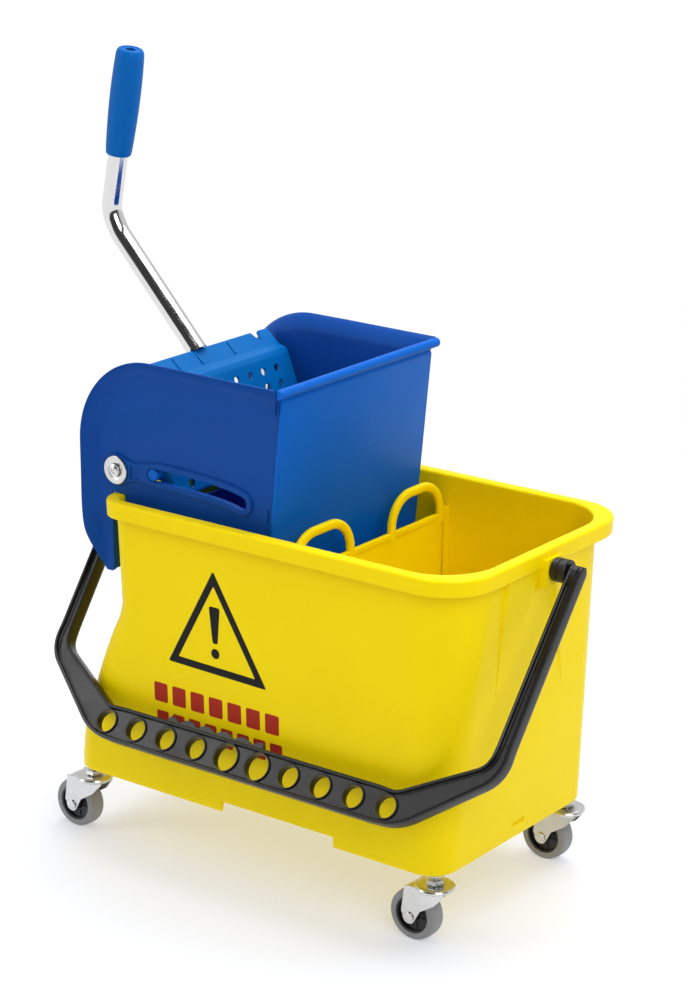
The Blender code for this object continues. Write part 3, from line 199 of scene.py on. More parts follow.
def between(table, at):
    """Linear look-up in a list of (position, value) pairs."""
    for (low, low_value), (high, high_value) in zip(table, table[1:]):
        if at <= high:
            share = max((at - low) / (high - low), 0.0)
            return low_value + (high_value - low_value) * share
    return table[-1][1]


def resampled(path, spacing):
    """Points at an even spacing along a 2D path."""
    path = [Vector(p) for p in path]
    lengths = [0.0]
    for a, b in zip(path, path[1:]):
        lengths.append(lengths[-1] + (b - a).length)
    count = max(int(round(lengths[-1] / spacing)), 2)
    result, segment = [], 0
    for i in range(count + 1):
        target = lengths[-1] * i / count
        while segment < len(path) - 2 and lengths[segment + 1] < target:
            segment += 1
        span = max(lengths[segment + 1] - lengths[segment], 1e-9)
        result.append(path[segment].lerp(path[segment + 1], (target - lengths[segment]) / span))
    return result


def turn_about(point, pivot, degrees):
    """Turn an (x, z) point about an axis along +Y."""
    angle = math.radians(degrees)
    x, z = point[0] - pivot[0], point[1] - pivot[1]
    return (pivot[0] + x * math.cos(angle) + z * math.sin(angle),
            pivot[1] - x * math.sin(angle) + z * math.cos(angle))


def loft(rings, closed=False):
    """Skin a list of rings that have the same number of points; cap the two ends unless closed."""
    bm = bmesh.new()
    rows = [[bm.verts.new(point) for point in ring] for ring in rings]
    pairs = list(zip(rows, rows[1:]))
    if closed:
        pairs.append((rows[-1], rows[0]))
    count = len(rows[0])
    for lower, upper in pairs:
        for i in range(count):
            j = (i + 1) % count
            bm.faces.new((lower[i], lower[j], upper[j], upper[i]))
    if not closed:
        bm.faces.new(list(reversed(rows[0])))
        bm.faces.new(rows[-1])
    bmesh.ops.recalc_face_normals(bm, faces=bm.faces)
    return bm


def side_plate(outline, y_from, y_to, bevel=0.0):
    """A plate whose (x, z) outline is extruded along Y, with its edges rounded over if asked."""
    bm = loft([[(x, y, z) for x, z in outline] for y in (y_from, y_to)])
    if bevel > 0.0:
        rims = [e for e in bm.edges if abs(e.verts[0].co.y - e.verts[1].co.y) < 1e-7]
        bmesh.ops.bevel(bm, geom=rims, offset=bevel, segments=2, profile=0.6, affect="EDGES")
    return bm


def box(low, high, bevel=0.0):
    """A box between two corners."""
    (x0, y0, z0), (x1, y1, z1) = low, high
    bm = loft([[(x0, y0, z), (x1, y0, z), (x1, y1, z), (x0, y1, z)] for z in (z0, z1)])
    if bevel > 0.0:
        bmesh.ops.bevel(bm, geom=list(bm.edges), offset=bevel, segments=2, profile=0.6, affect="EDGES")
    return bm


AXIS_TURNS = {"Z": Matrix.Identity(4), "Y": Matrix.Rotation(math.radians(-90.0), 4, "X"),
              "X": Matrix.Rotation(math.radians(90.0), 4, "Y")}


def turned(profile, segments, centre=(0.0, 0.0, 0.0), axis="Z"):
    """A solid of revolution; profile is (radius, height) pairs, and radius 0 closes an end."""
    solid = profile[0][0] <= 0.0
    rows = profile[1:-1] if solid else profile
    bm = loft([[(x, y, height) for x, y in circle((0.0, 0.0), radius, segments)] for radius, height in rows],
              closed=not solid)
    bm.transform(Matrix.Translation(centre) @ AXIS_TURNS[axis])
    return bm


def rod(radius, start, end, segments=32, bevel=0.0):
    """A round bar between two points, with rounded ends if asked."""
    start, end = Vector(start), Vector(end)
    length = (end - start).length
    profile = [(0.0, 0.0), (radius - bevel, 0.0)]
    if bevel > 0.0:
        profile += [(radius - bevel * 0.3, bevel * 0.3), (radius, bevel), (radius, length - bevel),
                    (radius - bevel * 0.3, length - bevel * 0.3)]
    profile += [(radius - bevel, length), (0.0, length)]
    bm = turned(profile, segments)
    turn = (end - start).to_track_quat("Z", "Y").to_matrix().to_4x4()
    bm.transform(Matrix.Translation(start) @ turn)
    return bm


def joined(parts):
    """Several bmeshes as one, without joining their surfaces."""
    bm = bmesh.new()
    for part in parts:
        mesh = bpy.data.meshes.new("part")
        part.to_mesh(mesh)
        part.free()
        bm.from_mesh(mesh)
        bpy.data.meshes.remove(mesh)
    return bm


def combine(bm, others, operation):
    """Apply exact Booleans of the other bmeshes to bm, one after another, and return the result."""
    for other in others:
        holders = []
        for source in (bm, other):
            bmesh.ops.recalc_face_normals(source, faces=source.faces)
            mesh = bpy.data.meshes.new("boolean_source")
            source.to_mesh(mesh)
            source.free()
            holder = bpy.data.objects.new("boolean_source", mesh)
            bpy.context.collection.objects.link(holder)
            holders.append(holder)
        modifier = holders[0].modifiers.new("cut", "BOOLEAN")
        modifier.operation = operation
        modifier.solver = "EXACT"
        modifier.object = holders[1]
        evaluated = holders[0].evaluated_get(bpy.context.evaluated_depsgraph_get())
        bm = bmesh.new()
        bm.from_mesh(evaluated.to_mesh())
        evaluated.to_mesh_clear()
        for holder in holders:
            mesh = holder.data
            bpy.data.objects.remove(holder)
            bpy.data.meshes.remove(mesh)
    return bm


def place(name, bm, finish, body, replaces=(), smooth_deg=32.0, bevel=0.0):
    """Turn a bmesh in the drawing frame into a visible piece that rides on a body."""
    bmesh.ops.remove_doubles(bm, verts=bm.verts, dist=1e-6)
    bmesh.ops.recalc_face_normals(bm, faces=bm.faces)
    bm.transform(Matrix.Translation(DRAWING_SHIFT))
    mesh = bpy.data.meshes.new(name)
    bm.to_mesh(mesh)
    bm.free()
    mesh.shade_smooth()
    mesh.set_sharp_from_angle(angle=math.radians(smooth_deg))
    mesh.materials.append(finish)
    piece = bpy.data.objects.new(name, mesh)
    bpy.context.collection.objects.link(piece)
    if bevel > 0.0:
        modifier = piece.modifiers.new("soft edges", "BEVEL")
        modifier.width = bevel
        modifier.segments = 2
        modifier.limit_method = "ANGLE"
        modifier.angle_limit = math.radians(40.0)
        modifier.harden_normals = False
    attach(piece, body)
    if replaces:
        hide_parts(*replaces)
    return piece


# ---------------------------------------------------------------- finishes
class Wire:
    """A node socket that can be used in a Python expression."""

    def __init__(self, paint, socket):
        self.paint = paint
        self.socket = socket

    def _maths(self, operation, first, second):
        return self.paint.node("ShaderNodeMath", {"operation": operation}, {0: first, 1: second})

    def __add__(self, other):
        return self._maths("ADD", self, other)

    def __radd__(self, other):
        return self._maths("ADD", other, self)

    def __sub__(self, other):
        return self._maths("SUBTRACT", self, other)

    def __rsub__(self, other):
        return self._maths("SUBTRACT", other, self)

    def __mul__(self, other):
        return self._maths("MULTIPLY", self, other)

    def __rmul__(self, other):
        return self._maths("MULTIPLY", other, self)


class Paint:
    """A node tree that is built from expressions."""

    def __init__(self, tree):
        self.tree = tree

    def node(self, kind, settings=None, inputs=None, output=0):
        """Add a node: its settings first, then its sockets as numbers or links; give back one output."""
        made = self.tree.nodes.new(kind)
        for key, value in (settings or {}).items():
            if key == "stops":
                self._fill_ramp(made.color_ramp, value)
            else:
                setattr(made, key, value)
        for key, value in (inputs or {}).items():
            self._feed(made.inputs[key], value)
        return Wire(self, made.outputs[output]) if made.outputs else None

    @staticmethod
    def _fill_ramp(ramp, stops):
        while len(ramp.elements) < len(stops):
            ramp.elements.new(1.0)
        for element, (position, value) in zip(ramp.elements, stops):
            element.position = position
            element.color = (value, value, value, 1.0)

    def _feed(self, socket, value):
        if isinstance(value, Wire):
            self.tree.links.new(value.socket, socket)
        else:
            socket.default_value = value


class Finish(Paint):
    """The node tree of one material."""

    def __init__(self, name):
        self.material = bpy.data.materials.new(name)
        self.material.use_nodes = True
        super().__init__(self.material.node_tree)
        self.shader = self.tree.nodes["Principled BSDF"]

    def set(self, **values):
        """Feed the shader's own sockets; underscores stand for spaces."""
        for key, value in values.items():
            self._feed(self.shader.inputs[key.replace("_", " ")], value)

    def noise(self, scale, detail=3.0, roughness=0.55, stretch=None):
        """Soft noise over the object, from 0 to 1; scale is in features per metre."""
        place_on = self.node("ShaderNodeTexCoord", output="Object")
        if stretch:
            place_on = self.node("ShaderNodeMapping", {}, {"Vector": place_on, "Scale": stretch})
        return self.node("ShaderNodeTexNoise", {}, {"Vector": place_on, "Scale": scale, "Detail": detail,
                                                    "Roughness": roughness})

    def ramp(self, signal, stops):
        """Reshape a signal with (position, value) stops."""
        return self.node("ShaderNodeValToRGB", {"stops": stops}, {"Fac": signal})

    def blend(self, share, first, second):
        """Mix two colours."""
        return self.node("ShaderNodeMix", {"data_type": "RGBA"}, {0: share, 6: first, 7: second}, output=2)

    def bump(self, height, strength, distance):
        """Feed a height signal to the shader's normal."""
        bumped = {"Height": height, "Strength": strength, "Distance": distance}
        self._feed(self.shader.inputs["Normal"], self.node("ShaderNodeBump", {}, bumped))


def opaque(colour):
    """A colour with full alpha."""
    return (*colour, 1.0)


def shaded(colour, factor):
    """A darker or lighter version of a colour."""
    return tuple(channel * factor for channel in colour)


def moulded_finish(name, colour, deep_colour, roughness, grain, gloss=0.08):
    """Injection-moulded plastic: flow clouds, faint scuffs, orange-peel grain and fingerprint sheen."""
    paint = Finish(name)
    clouds = paint.ramp(paint.noise(5.0, 3.0, 0.6), [(0.32, 0.0), (0.70, 1.0)])
    flow = paint.noise(26.0, 4.0, 0.6, stretch=(1.0, 1.0, 0.22))
    colour_out = paint.blend(clouds * 0.55 + flow * 0.25, opaque(colour), opaque(deep_colour))
    smudges = paint.ramp(paint.noise(17.0, 5.0, 0.65), [(0.40, 0.0), (0.66, 1.0)])
    scratches = paint.ramp(paint.noise(60.0, 2.0, 0.5, stretch=(1.0, 9.0, 0.35)), [(0.60, 0.0), (0.74, 1.0)])
    speckle = paint.ramp(paint.noise(640.0, 2.0, 0.6), [(0.62, 0.0), (0.72, 1.0)])
    scuffed = paint.blend(speckle * 0.10, colour_out, opaque(shaded(deep_colour, 0.55)))
    paint.set(Base_Color=scuffed, Roughness=roughness + smudges * 0.10 + scratches * 0.08)
    paint.set(Specular_IOR_Level=gloss)
    peel = paint.noise(520.0, 3.0, 0.6) * grain + paint.noise(60.0, 2.0, 0.5) * 0.6 - scratches * 0.12
    paint.bump(peel, 0.22, 0.0006)
    return paint.material


def plated_finish(name, colour, roughness, spotting, grain_scale, stretch=None):
    """Bright metal plate with faint handling marks and a fine grain."""
    paint = Finish(name)
    cloud = paint.noise(45.0, 5.0, 0.65)
    spots = paint.ramp(paint.noise(420.0, 3.0, 0.6), [(0.60, 0.0), (0.75, 1.0)])
    grain = paint.noise(grain_scale, 2.0, 0.5, stretch=stretch)
    paint.set(Metallic=1.0)
    dull = opaque(shaded(colour, 0.62))
    paint.set(Base_Color=paint.blend(cloud * 0.35 + spots * spotting, opaque(colour), dull))
    paint.set(Roughness=roughness + paint.ramp(cloud, [(0.45, 0.0), (0.75, 1.0)]) * 0.10 + grain * 0.06)
    paint.bump(grain + spots * 0.3, 0.10, 0.0002)
    return paint.material


def tyre_finish(name, colour):
    """Grey non-marking rubber: a dusty tread and fine pores."""
    paint = Finish(name)
    dust = paint.ramp(paint.noise(38.0, 5.0, 0.7), [(0.38, 0.0), (0.72, 1.0)])
    pores = paint.ramp(paint.noise(900.0, 2.0, 0.6), [(0.58, 0.0), (0.70, 1.0)])
    dusty = paint.blend(dust * 0.5, opaque(colour), opaque(shaded(colour, 1.35)))
    paint.set(Base_Color=paint.blend(pores * 0.30, dusty, opaque(shaded(colour, 0.5))))
    paint.set(Roughness=0.48 + dust * 0.22)
    paint.bump(paint.noise(240.0, 4.0, 0.65) - pores * 0.5, 0.30, 0.0005)
    return paint.material


def print_finish(name, colour):
    """Screen-printed ink: nearly flat, with pinholes and a slightly uneven film."""
    paint = Finish(name)
    film = paint.noise(70.0, 5.0, 0.65)
    pinholes = paint.ramp(paint.noise(800.0, 2.0, 0.6), [(0.66, 0.0), (0.74, 1.0)])
    thin = opaque(shaded(colour, 1.2))
    paint.set(Base_Color=paint.blend(film * 0.5 + pinholes * 0.4, opaque(colour), thin))
    paint.set(Roughness=0.36 + film * 0.16, Specular_IOR_Level=0.10)
    paint.bump(film + pinholes, 0.10, 0.0002)
    return paint.material


# ---------------------------------------------------------------- bucket
def left_wall(z):
    """Outer face and corner radius of the left end wall at a height."""
    radius = between([(row[0], row[2]) for row in LEFT_PROFILE], z)
    curve = smooth_curve([row[:2] for row in LEFT_PROFILE], 6)
    return between(curve, z), radius


def wall_outline(z, inset, corner_steps):
    """Rounded outline of the bucket at a height, moved inwards by inset (outwards if negative)."""
    part = (z - BASE_Z) / (RIM_Z - LIP_DROP - BASE_Z)
    half_y = BASE_HALF_WIDTH + (TOP_HALF_WIDTH - BASE_HALF_WIDTH) * part - inset
    right_x = BASE_HALF_LENGTH + (RIGHT_TOP_X - BASE_HALF_LENGTH) * part - inset
    left_x, left_radius = left_wall(z)
    left_x += inset
    part = min(part, 1.0)
    right_radius = RIGHT_BASE_RADIUS + (RIGHT_TOP_RADIUS - RIGHT_BASE_RADIUS) * part
    lip_share = max(-inset / LIP_OUT, 0.0)
    right_radius = max(right_radius - inset - LIP_CORNER_TIGHTER * lip_share, 0.004)
    left_radius = max(left_radius - inset, 0.004)
    corners = ((right_x - right_radius, -half_y + right_radius, right_radius, -90.0),
               (right_x - right_radius, half_y - right_radius, right_radius, 0.0),
               (left_x + left_radius, half_y - left_radius, left_radius, 90.0),
               (left_x + left_radius, -half_y + left_radius, left_radius, 180.0))
    ring = []
    for x, y, radius, start in corners:
        ring += [(px, py, z) for px, py in arc((x, y), radius, start, start + 90.0, corner_steps)]
    return ring


def lip_section():
    """Rolled lip from the outer wall over to the inner wall, as (height, inset) pairs."""
    low_z = RIM_Z - LIP_DROP
    outline = [(low_z + 0.0105, 0.0), (low_z + 0.0110, -LIP_OUT + LIP_SHEET), (low_z, -LIP_OUT + LIP_SHEET),
               (low_z, -LIP_OUT), (RIM_Z, -LIP_OUT), (RIM_Z + 0.0002, -0.0028), (RIM_Z, WALL),
               (RIM_Z - 0.0120, WALL)]
    return fillet(outline, (0.0010, 0.0010, 0.0008, 0.0008, 0.0042, 0.0, 0.0034, 0.0), 6, closed=False)


def bucket_shell(corner_steps):
    """Outer wall, rolled lip, inner wall and floor, with the underside hollowed behind the skirt."""
    levels = [0.0725 + (0.268 - 0.0725) * i / 30 for i in range(31)] + [0.300, 0.330]
    outer = [(BASE_Z, 0.0012), (BASE_Z + 0.0004, 0.0004)] + [(z, 0.0) for z in levels]
    inner = [(z, WALL) for z in reversed(levels) if z > 0.0960]
    inner += [(FLOOR_TOP_Z + 0.0060, WALL + 0.0004), (FLOOR_TOP_Z + 0.0018, WALL + 0.0018),
              (FLOOR_TOP_Z, WALL + 0.0060)]
    rows = [(FLOOR_UNDERSIDE_Z, 0.0060), (BASE_Z, 0.0040)] + outer + lip_section() + inner
    return loft([wall_outline(z, inset, corner_steps) for z, inset in rows])


def left_pillar():
    """Upright below the left bail pivot, past the set-back end wall."""
    face_x = BAIL_AXIS.x - BOSS_FACE_HALF + 0.008
    buried, top_z = 0.001, RIM_Z - 0.006
    profile = [(face_x, top_z), (LEFT_WALL_X + buried, top_z)]
    for z, wall_x, _ in reversed(LEFT_PROFILE[:-1]):
        if wall_x > face_x:
            profile.append((wall_x + buried, z))
    profile.append((face_x + buried, PILLAR_FOOT_Z))
    bm = side_plate(profile, -PILLAR_HALF, PILLAR_HALF)
    corners = [e for e in bm.edges if all(abs(v.co.x - face_x) < buried + 1e-5 for v in e.verts)]
    bmesh.ops.bevel(bm, geom=[e for e in corners if abs(e.verts[0].co.y - e.verts[1].co.y) < 1e-6],
                    offset=0.006, segments=5, affect="EDGES")
    return bm


def pivot_boss(side):
    """Block below the lip that holds a bail pivot pin."""
    face_x = BAIL_AXIS.x + side * BOSS_FACE_HALF
    root_x = RIGHT_TOP_X - 0.003 if side > 0 else face_x + 0.010
    top_z, bottom_z = RIM_Z - 0.008, BAIL_AXIS.z - 0.014
    profile = [(root_x, top_z), (face_x, top_z), (face_x, bottom_z), (root_x, bottom_z - 0.008)]
    return side_plate(profile, -0.013, 0.013, bevel=0.0008)


def end_gussets():
    """Two shallow triangular pads below the right boss."""
    gussets = []
    top_z = RIM_Z - LIP_DROP - 0.001
    for side in (-1, 1):
        points = [(RIGHT_TOP_X + 0.0030, side * 0.0560, top_z), (RIGHT_TOP_X - 0.0030, side * 0.0580, top_z),
                  (RIGHT_TOP_X - 0.0030, 0.0, top_z), (RIGHT_TOP_X + 0.0070, side * 0.0125, top_z),
                  (0.2318, side * 0.0590, GUSSET_LOW_Z)]
        bm = bmesh.new()
        bmesh.ops.convex_hull(bm, input=[bm.verts.new(point) for point in points])
        gussets.append(bm)
    return gussets


def divider_guides():
    """Four upright ribs that make the divider's two slots."""
    ribs = []
    for side in (-1, 1):
        for offset in (-0.0042, 0.0042):
            x = DIVIDER_X + offset
            inner_low, outer_low = side * 0.1155, side * 0.1225
            inner_top, outer_top = side * 0.1200, side * 0.1275
            top_z = DIVIDER_TOP_Z + 0.006
            rings = []
            ends = ((FLOOR_TOP_Z - 0.001, inner_low, outer_low), (top_z, inner_top, outer_top))
            for z, inner_y, outer_y in ends:
                rings.append([(x - 0.0014, inner_y, z), (x + 0.0014, inner_y, z), (x + 0.0014, outer_y, z),
                              (x - 0.0014, outer_y, z)])
            ribs.append(loft(rings))
    return ribs


def caster_pads():
    """Round pads under the floor that the four studs screw into."""
    return [rod(0.0102, (sx * CASTER_X, sy * CASTER_Y, BASE_Z), (sx * CASTER_X, sy * CASTER_Y, 0.085), 40)
            for sx, sy in CASTERS.values()]


def bucket_cuts():
    """Skirt notch, end slot and the holes for studs and pins."""
    cuts = [box((SKIRT_NOTCH[0], -0.140, BASE_Z - 0.010), (SKIRT_NOTCH[1], -0.118, FLOOR_UNDERSIDE_Z)),
            box((BASE_HALF_LENGTH - 0.0005, -0.010, 0.0835), (BASE_HALF_LENGTH + 0.010, 0.010, 0.0885))]
    for sx, sy in CASTERS.values():
        cuts.append(rod(STUD_RADIUS + 0.0003, (sx * CASTER_X, sy * CASTER_Y, BASE_Z - 0.002),
                        (sx * CASTER_X, sy * CASTER_Y, BASE_Z + 0.0085)))
    for side in (-1, 1):
        face_x = BAIL_AXIS.x + side * BOSS_FACE_HALF
        cuts.append(rod(PIN_RADIUS + 0.0003, (face_x + side * 0.004, 0.0, BAIL_AXIS.z),
                        (face_x - side * 0.010, 0.0, BAIL_AXIS.z)))
    return cuts


def make_bucket(finishes, corner_steps):
    """The two-compartment bucket."""
    bm = bucket_shell(corner_steps)
    added = caster_pads() + end_gussets() + [left_pillar(), pivot_boss(1), pivot_boss(-1)] + divider_guides()
    bm = combine(bm, added, "UNION")
    bm = combine(bm, [joined(bucket_cuts())], "DIFFERENCE")
    place("bucket_shell", bm, finishes["yellow"], "base", ("bucket",))


# ---------------------------------------------------------------- printed sign
def on_near_wall(x, z, out):
    """A point on the near wall's outer face, or in front of it."""
    part = (z - BASE_Z) / (RIM_Z - LIP_DROP - BASE_Z)
    return (x, -(BASE_HALF_WIDTH + (TOP_HALF_WIDTH - BASE_HALF_WIDTH) * part) - out, z)


def print_patch(outline):
    """A thin film of ink with an (x, z) outline on the near wall."""
    return loft([[on_near_wall(x, z, out) for x, z in outline] for out in (0.00002, PRINT_OUT)])


def sign_frame():
    """Triangle outline with rounded corners, as a closed band."""
    corners = [Vector(SIGN_BASE[0]), Vector(SIGN_BASE[1]), Vector(SIGN_APEX)]
    sides = [(corners[i - 1] - corners[i - 2]).length for i in range(3)]
    centre = sum((corner * side for corner, side in zip(corners, sides)), Vector((0.0, 0.0))) / sum(sides)
    base, rise = corners[1] - corners[0], centre - corners[0]
    inner_radius = abs(base.x * rise.y - base.y * rise.x) / base.length
    inner = [centre + (corner - centre) * (1.0 - SIGN_STROKE / inner_radius) for corner in corners]
    outer_line = fillet([tuple(p) for p in corners], 0.0016, 4)
    inner_line = fillet([tuple(p) for p in inner], 0.0008, 4)
    rings = []
    for line, out in ((outer_line, 0.00002), (outer_line, PRINT_OUT), (inner_line, PRINT_OUT),
                      (inner_line, 0.00002)):
        rings.append([on_near_wall(x, z, out) for x, z in line])
    return loft(rings, closed=True)


def make_sign(finishes):
    """A plain caution triangle and two rows of plain blocks, with no lettering."""
    mark_x, low_z = SIGN_APEX[0] + 0.0005, SIGN_BASE[0][1]
    stroke = fillet([(mark_x - 0.0066, low_z + 0.066), (mark_x + 0.0066, low_z + 0.066),
                     (mark_x + 0.0030, low_z + 0.0295), (mark_x - 0.0030, low_z + 0.0295)], 0.0025, 4)
    dot = circle((mark_x, low_z + 0.0195), 0.0050, 28)
    bm = joined([sign_frame(), print_patch(stroke), print_patch(dot)])
    place("printed_triangle", bm, finishes["black_ink"], "base")
    blocks = []
    for bottom, top, start_x, count in BAR_ROWS:
        for i in range(count):
            x = start_x + i * BAR_PITCH * 7.0 / count
            width = BAR_WIDTH * 7.0 / count
            block = [(x, bottom), (x + width, bottom), (x + width, top), (x, top)]
            blocks.append(print_patch(fillet(block, 0.0022, 4)))
    place("printed_blocks", joined(blocks), finishes["red_ink"], "base")


# ---------------------------------------------------------------- bail
def bail_centre_line():
    """Middle line of the bail from one pivot to the other: (along, out from the axis)."""
    half = fillet(list(BAIL_LINE), (0.0, 0.030, 0.040, 0.0), 12, closed=False)
    mirrored = [(-along, out) for along, out in reversed(half)]
    return resampled(half[:-1] + mirrored, 0.0034)


def bail_ring(centre, across, width, depth_share, recess):
    """I-shaped section with rounded flanges, as points in the bail's own plane."""
    half_w, half_t = width / 2.0, BAIL_THICKNESS / 2.0 * depth_share
    flange = min(0.0030, width * 0.21)
    web = half_t - recess * depth_share
    quarter = [(half_w, half_t * 0.45), (half_w - 0.0003, half_t - 0.0013),
               (half_w - 0.0009, half_t - 0.0004), (half_w - 0.0018, half_t),
               (half_w - flange + 0.0004, half_t),
               (half_w - flange - 0.0003, half_t - 0.0005),
               (half_w - flange - 0.0009, web + 0.0006), (half_w - flange - 0.0015, web)]
    loop = quarter + [(-w, t) for w, t in reversed(quarter)]
    loop += [(-w, -t) for w, t in quarter] + [(w, -t) for w, t in reversed(quarter)]
    return [(centre.x + across.x * w, t, -(centre.y + across.y * w)) for w, t in loop]


def bail_bar():
    """The bail's rail, swept along its middle line with rounded pivot ends."""
    line = bail_centre_line()
    half_t = BAIL_THICKNESS / 2.0
    rings, distance = [], 0.0
    total = sum((b - a).length for a, b in zip(line, line[1:]))
    for angle_deg in (80, 60, 40, 20):
        angle = math.radians(angle_deg)
        centre = Vector((BAIL_PIVOT_HALF, -half_t * math.sin(angle)))
        rings.append(bail_ring(centre, Vector((1.0, 0.0)), BAIL_WIDTHS[0][1], math.cos(angle), 0.0))
    for i, point in enumerate(line):
        if i:
            distance += (point - line[i - 1]).length
        from_end = min(distance, total - distance)
        before, after = line[max(i - 1, 0)], line[min(i + 1, len(line) - 1)]
        tangent = (after - before).normalized()
        recess = 0.0044 * min(max((from_end - 0.004) / 0.010, 0.0), 1.0)
        across = Vector((tangent.y, -tangent.x))
        rings.append(bail_ring(point, across, between(BAIL_WIDTHS, from_end), 1.0, recess))
    for angle_deg in (20, 40, 60, 80):
        angle = math.radians(angle_deg)
        centre = Vector((-BAIL_PIVOT_HALF, -half_t * math.sin(angle)))
        rings.append(bail_ring(centre, Vector((-1.0, 0.0)), BAIL_WIDTHS[0][1], math.cos(angle), 0.0))
    return loft(rings)


def finger_rail():
    """Scalloped rail on the inner edge of the grip bar."""
    start, end, scallops, steps = -0.100, 0.010, 5, 14
    pitch = (end - start) / scallops
    inner = BAIL_RADIUS - BAIL_WIDTHS[-1][1] / 2.0
    outline = [(start - 0.006, inner + 0.002)]
    for i in range(scallops * steps + 1):
        wave = abs(math.cos(math.pi * i / steps))
        outline.append((start + pitch * i / steps, inner - 0.0010 - 0.0048 * wave))
    outline.append((end + 0.006, inner + 0.002))
    return loft([[(x, y, -out) for x, out in outline] for y in (0.0002, BAIL_THICKNESS / 2.0 - 0.003)])


def make_bail(finishes):
    """Carrying bail with its row of round holes, each with a raised collar."""
    first, last = BAIL_HOLE_SPAN
    collars, cuts = [finger_rail()], []
    for i in range(BAIL_HOLES):
        x = first + (last - first) * i / (BAIL_HOLES - 1)
        radius = BAIL_MIDDLE_HOLE_RADIUS if i in (4, 5) else BAIL_HOLE_RADIUS
        collar_ends = [(x, y, -BAIL_RADIUS) for y in (-BAIL_COLLAR_HALF, BAIL_COLLAR_HALF)]
        collars.append(rod(radius + 0.0017, *collar_ends, 44, 0.0006))
        cuts.append(rod(radius, (x, -0.02, -BAIL_RADIUS), (x, 0.02, -BAIL_RADIUS), 44))
    for side in (-1, 1):
        mouth = (side * (BAIL_PIVOT_HALF - 0.010), 0.0, 0.0)
        cuts.append(rod(PIN_RADIUS + 0.0003, mouth, (side * 0.2660, 0.0, 0.0)))
    bm = combine(bail_bar(), collars, "UNION")
    bm = combine(bm, [joined(cuts)], "DIFFERENCE")
    lean = Matrix.Rotation(math.radians(-BAIL_LEAN_DEG), 4, "X")
    bm.transform(Matrix.Translation(BAIL_AXIS) @ lean)
    place("bail_rail", bm, finishes["black"], "bail", ("bail_handle",))


def make_bail_spacers(finishes):
    """Grooved drums between the pivot bosses and the bail's arms."""
    for name in ("left", "right"):
        low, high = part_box("bail_spacer_" + name)
        inner_x, outer_x = low.x - DRAWING_SHIFT.x, high.x - DRAWING_SHIFT.x
        length, radius, bore = outer_x - inner_x, 0.0112, PIN_RADIUS + 0.0003
        profile = [(bore, 0.0), (radius - 0.0008, 0.0), (radius, 0.0008), (radius, length * 0.42),
                   (radius - 0.0009, length * 0.46), (radius - 0.0009, length * 0.54),
                   (radius, length * 0.58),
                   (radius, length - 0.0008), (radius - 0.0008, length), (bore, length)]
        drum = turned(profile, 56, (inner_x, 0.0, BAIL_AXIS.z), "X")
        place("spacer_drum_" + name, drum, finishes["black"], "base",
              ("bail_spacer_" + name,))


# ---------------------------------------------------------------- divider
def divider_half_width(z):
    """Half width of the divider between the tapering side walls."""
    part = (z - BASE_Z) / (RIM_Z - LIP_DROP - BASE_Z)
    return BASE_HALF_WIDTH + (TOP_HALF_WIDTH - BASE_HALF_WIDTH) * part - WALL - 0.0007


def hoop(centre_y, width):
    """A hoop with a flattened oval section that rises from the divider's top edge."""
    half, radius = width / 2.0 - HOOP_STRIP / 2.0, 0.030
    top = HOOP_TOP_Z - HOOP_STRIP / 2.0
    path = [(centre_y - half, DIVIDER_TOP_Z - 0.010)]
    path += arc((centre_y - half + radius, top - radius), radius, 180.0, 90.0, 16)
    path += arc((centre_y + half - radius, top - radius), radius, 90.0, 0.0, 16)
    path.append((centre_y + half, DIVIDER_TOP_Z - 0.010))
    rings = []
    for i, (y, z) in enumerate(path):
        before, after = Vector(path[max(i - 1, 0)]), Vector(path[min(i + 1, len(path) - 1)])
        along = (after - before).normalized()
        across = Vector((along.y, -along.x))
        ring = []
        for c, s in circle((0.0, 0.0), 1.0, 24):
            flat = math.copysign(abs(c) ** 0.7, c) * HOOP_DEPTH / 2.0
            wide = math.copysign(abs(s) ** 0.7, s) * HOOP_STRIP / 2.0
            ring.append((DIVIDER_X + flat, y + across.x * wide, z + across.y * wide))
        rings.append(ring)
    return loft(rings)


def make_divider(finishes):
    """Lift-out divider plate with a thickened top edge and two hoops."""
    low_z = FLOOR_TOP_Z + 0.0003
    half_x = DIVIDER_THICKNESS / 2.0
    low_half, top_half = divider_half_width(low_z), divider_half_width(DIVIDER_TOP_Z)
    outline = [(-low_half, low_z), (low_half, low_z), (top_half, DIVIDER_TOP_Z), (-top_half, DIVIDER_TOP_Z)]
    plate = loft([[(x, y, z) for y, z in outline] for x in (DIVIDER_X - half_x, DIVIDER_X + half_x)])
    rims = [e for e in plate.edges if all(v.co.z > DIVIDER_TOP_Z - 1e-5 for v in e.verts)
            and abs(e.verts[0].co.x - e.verts[1].co.x) < 1e-6]
    bmesh.ops.bevel(plate, geom=rims, offset=0.0008, segments=3, affect="EDGES")
    bead = box((DIVIDER_X - 0.0026, -0.112, DIVIDER_TOP_Z - 0.0060),
               (DIVIDER_X + 0.0026, 0.112, DIVIDER_TOP_Z - 0.0004), 0.0007)
    bm = combine(plate, [bead] + [hoop(centre, width) for centre, width in HOOPS], "UNION")
    place("divider_plate_with_hoops", bm, finishes["yellow"], "divider_plate", ("divider",))


# ---------------------------------------------------------------- wringer basket
def front_edge_x(z):
    """Inner face of the leaning front panel at a height."""
    return FRONT_TOP_X - FRONT_LEAN * (WRINGER_TOP_Z - z)


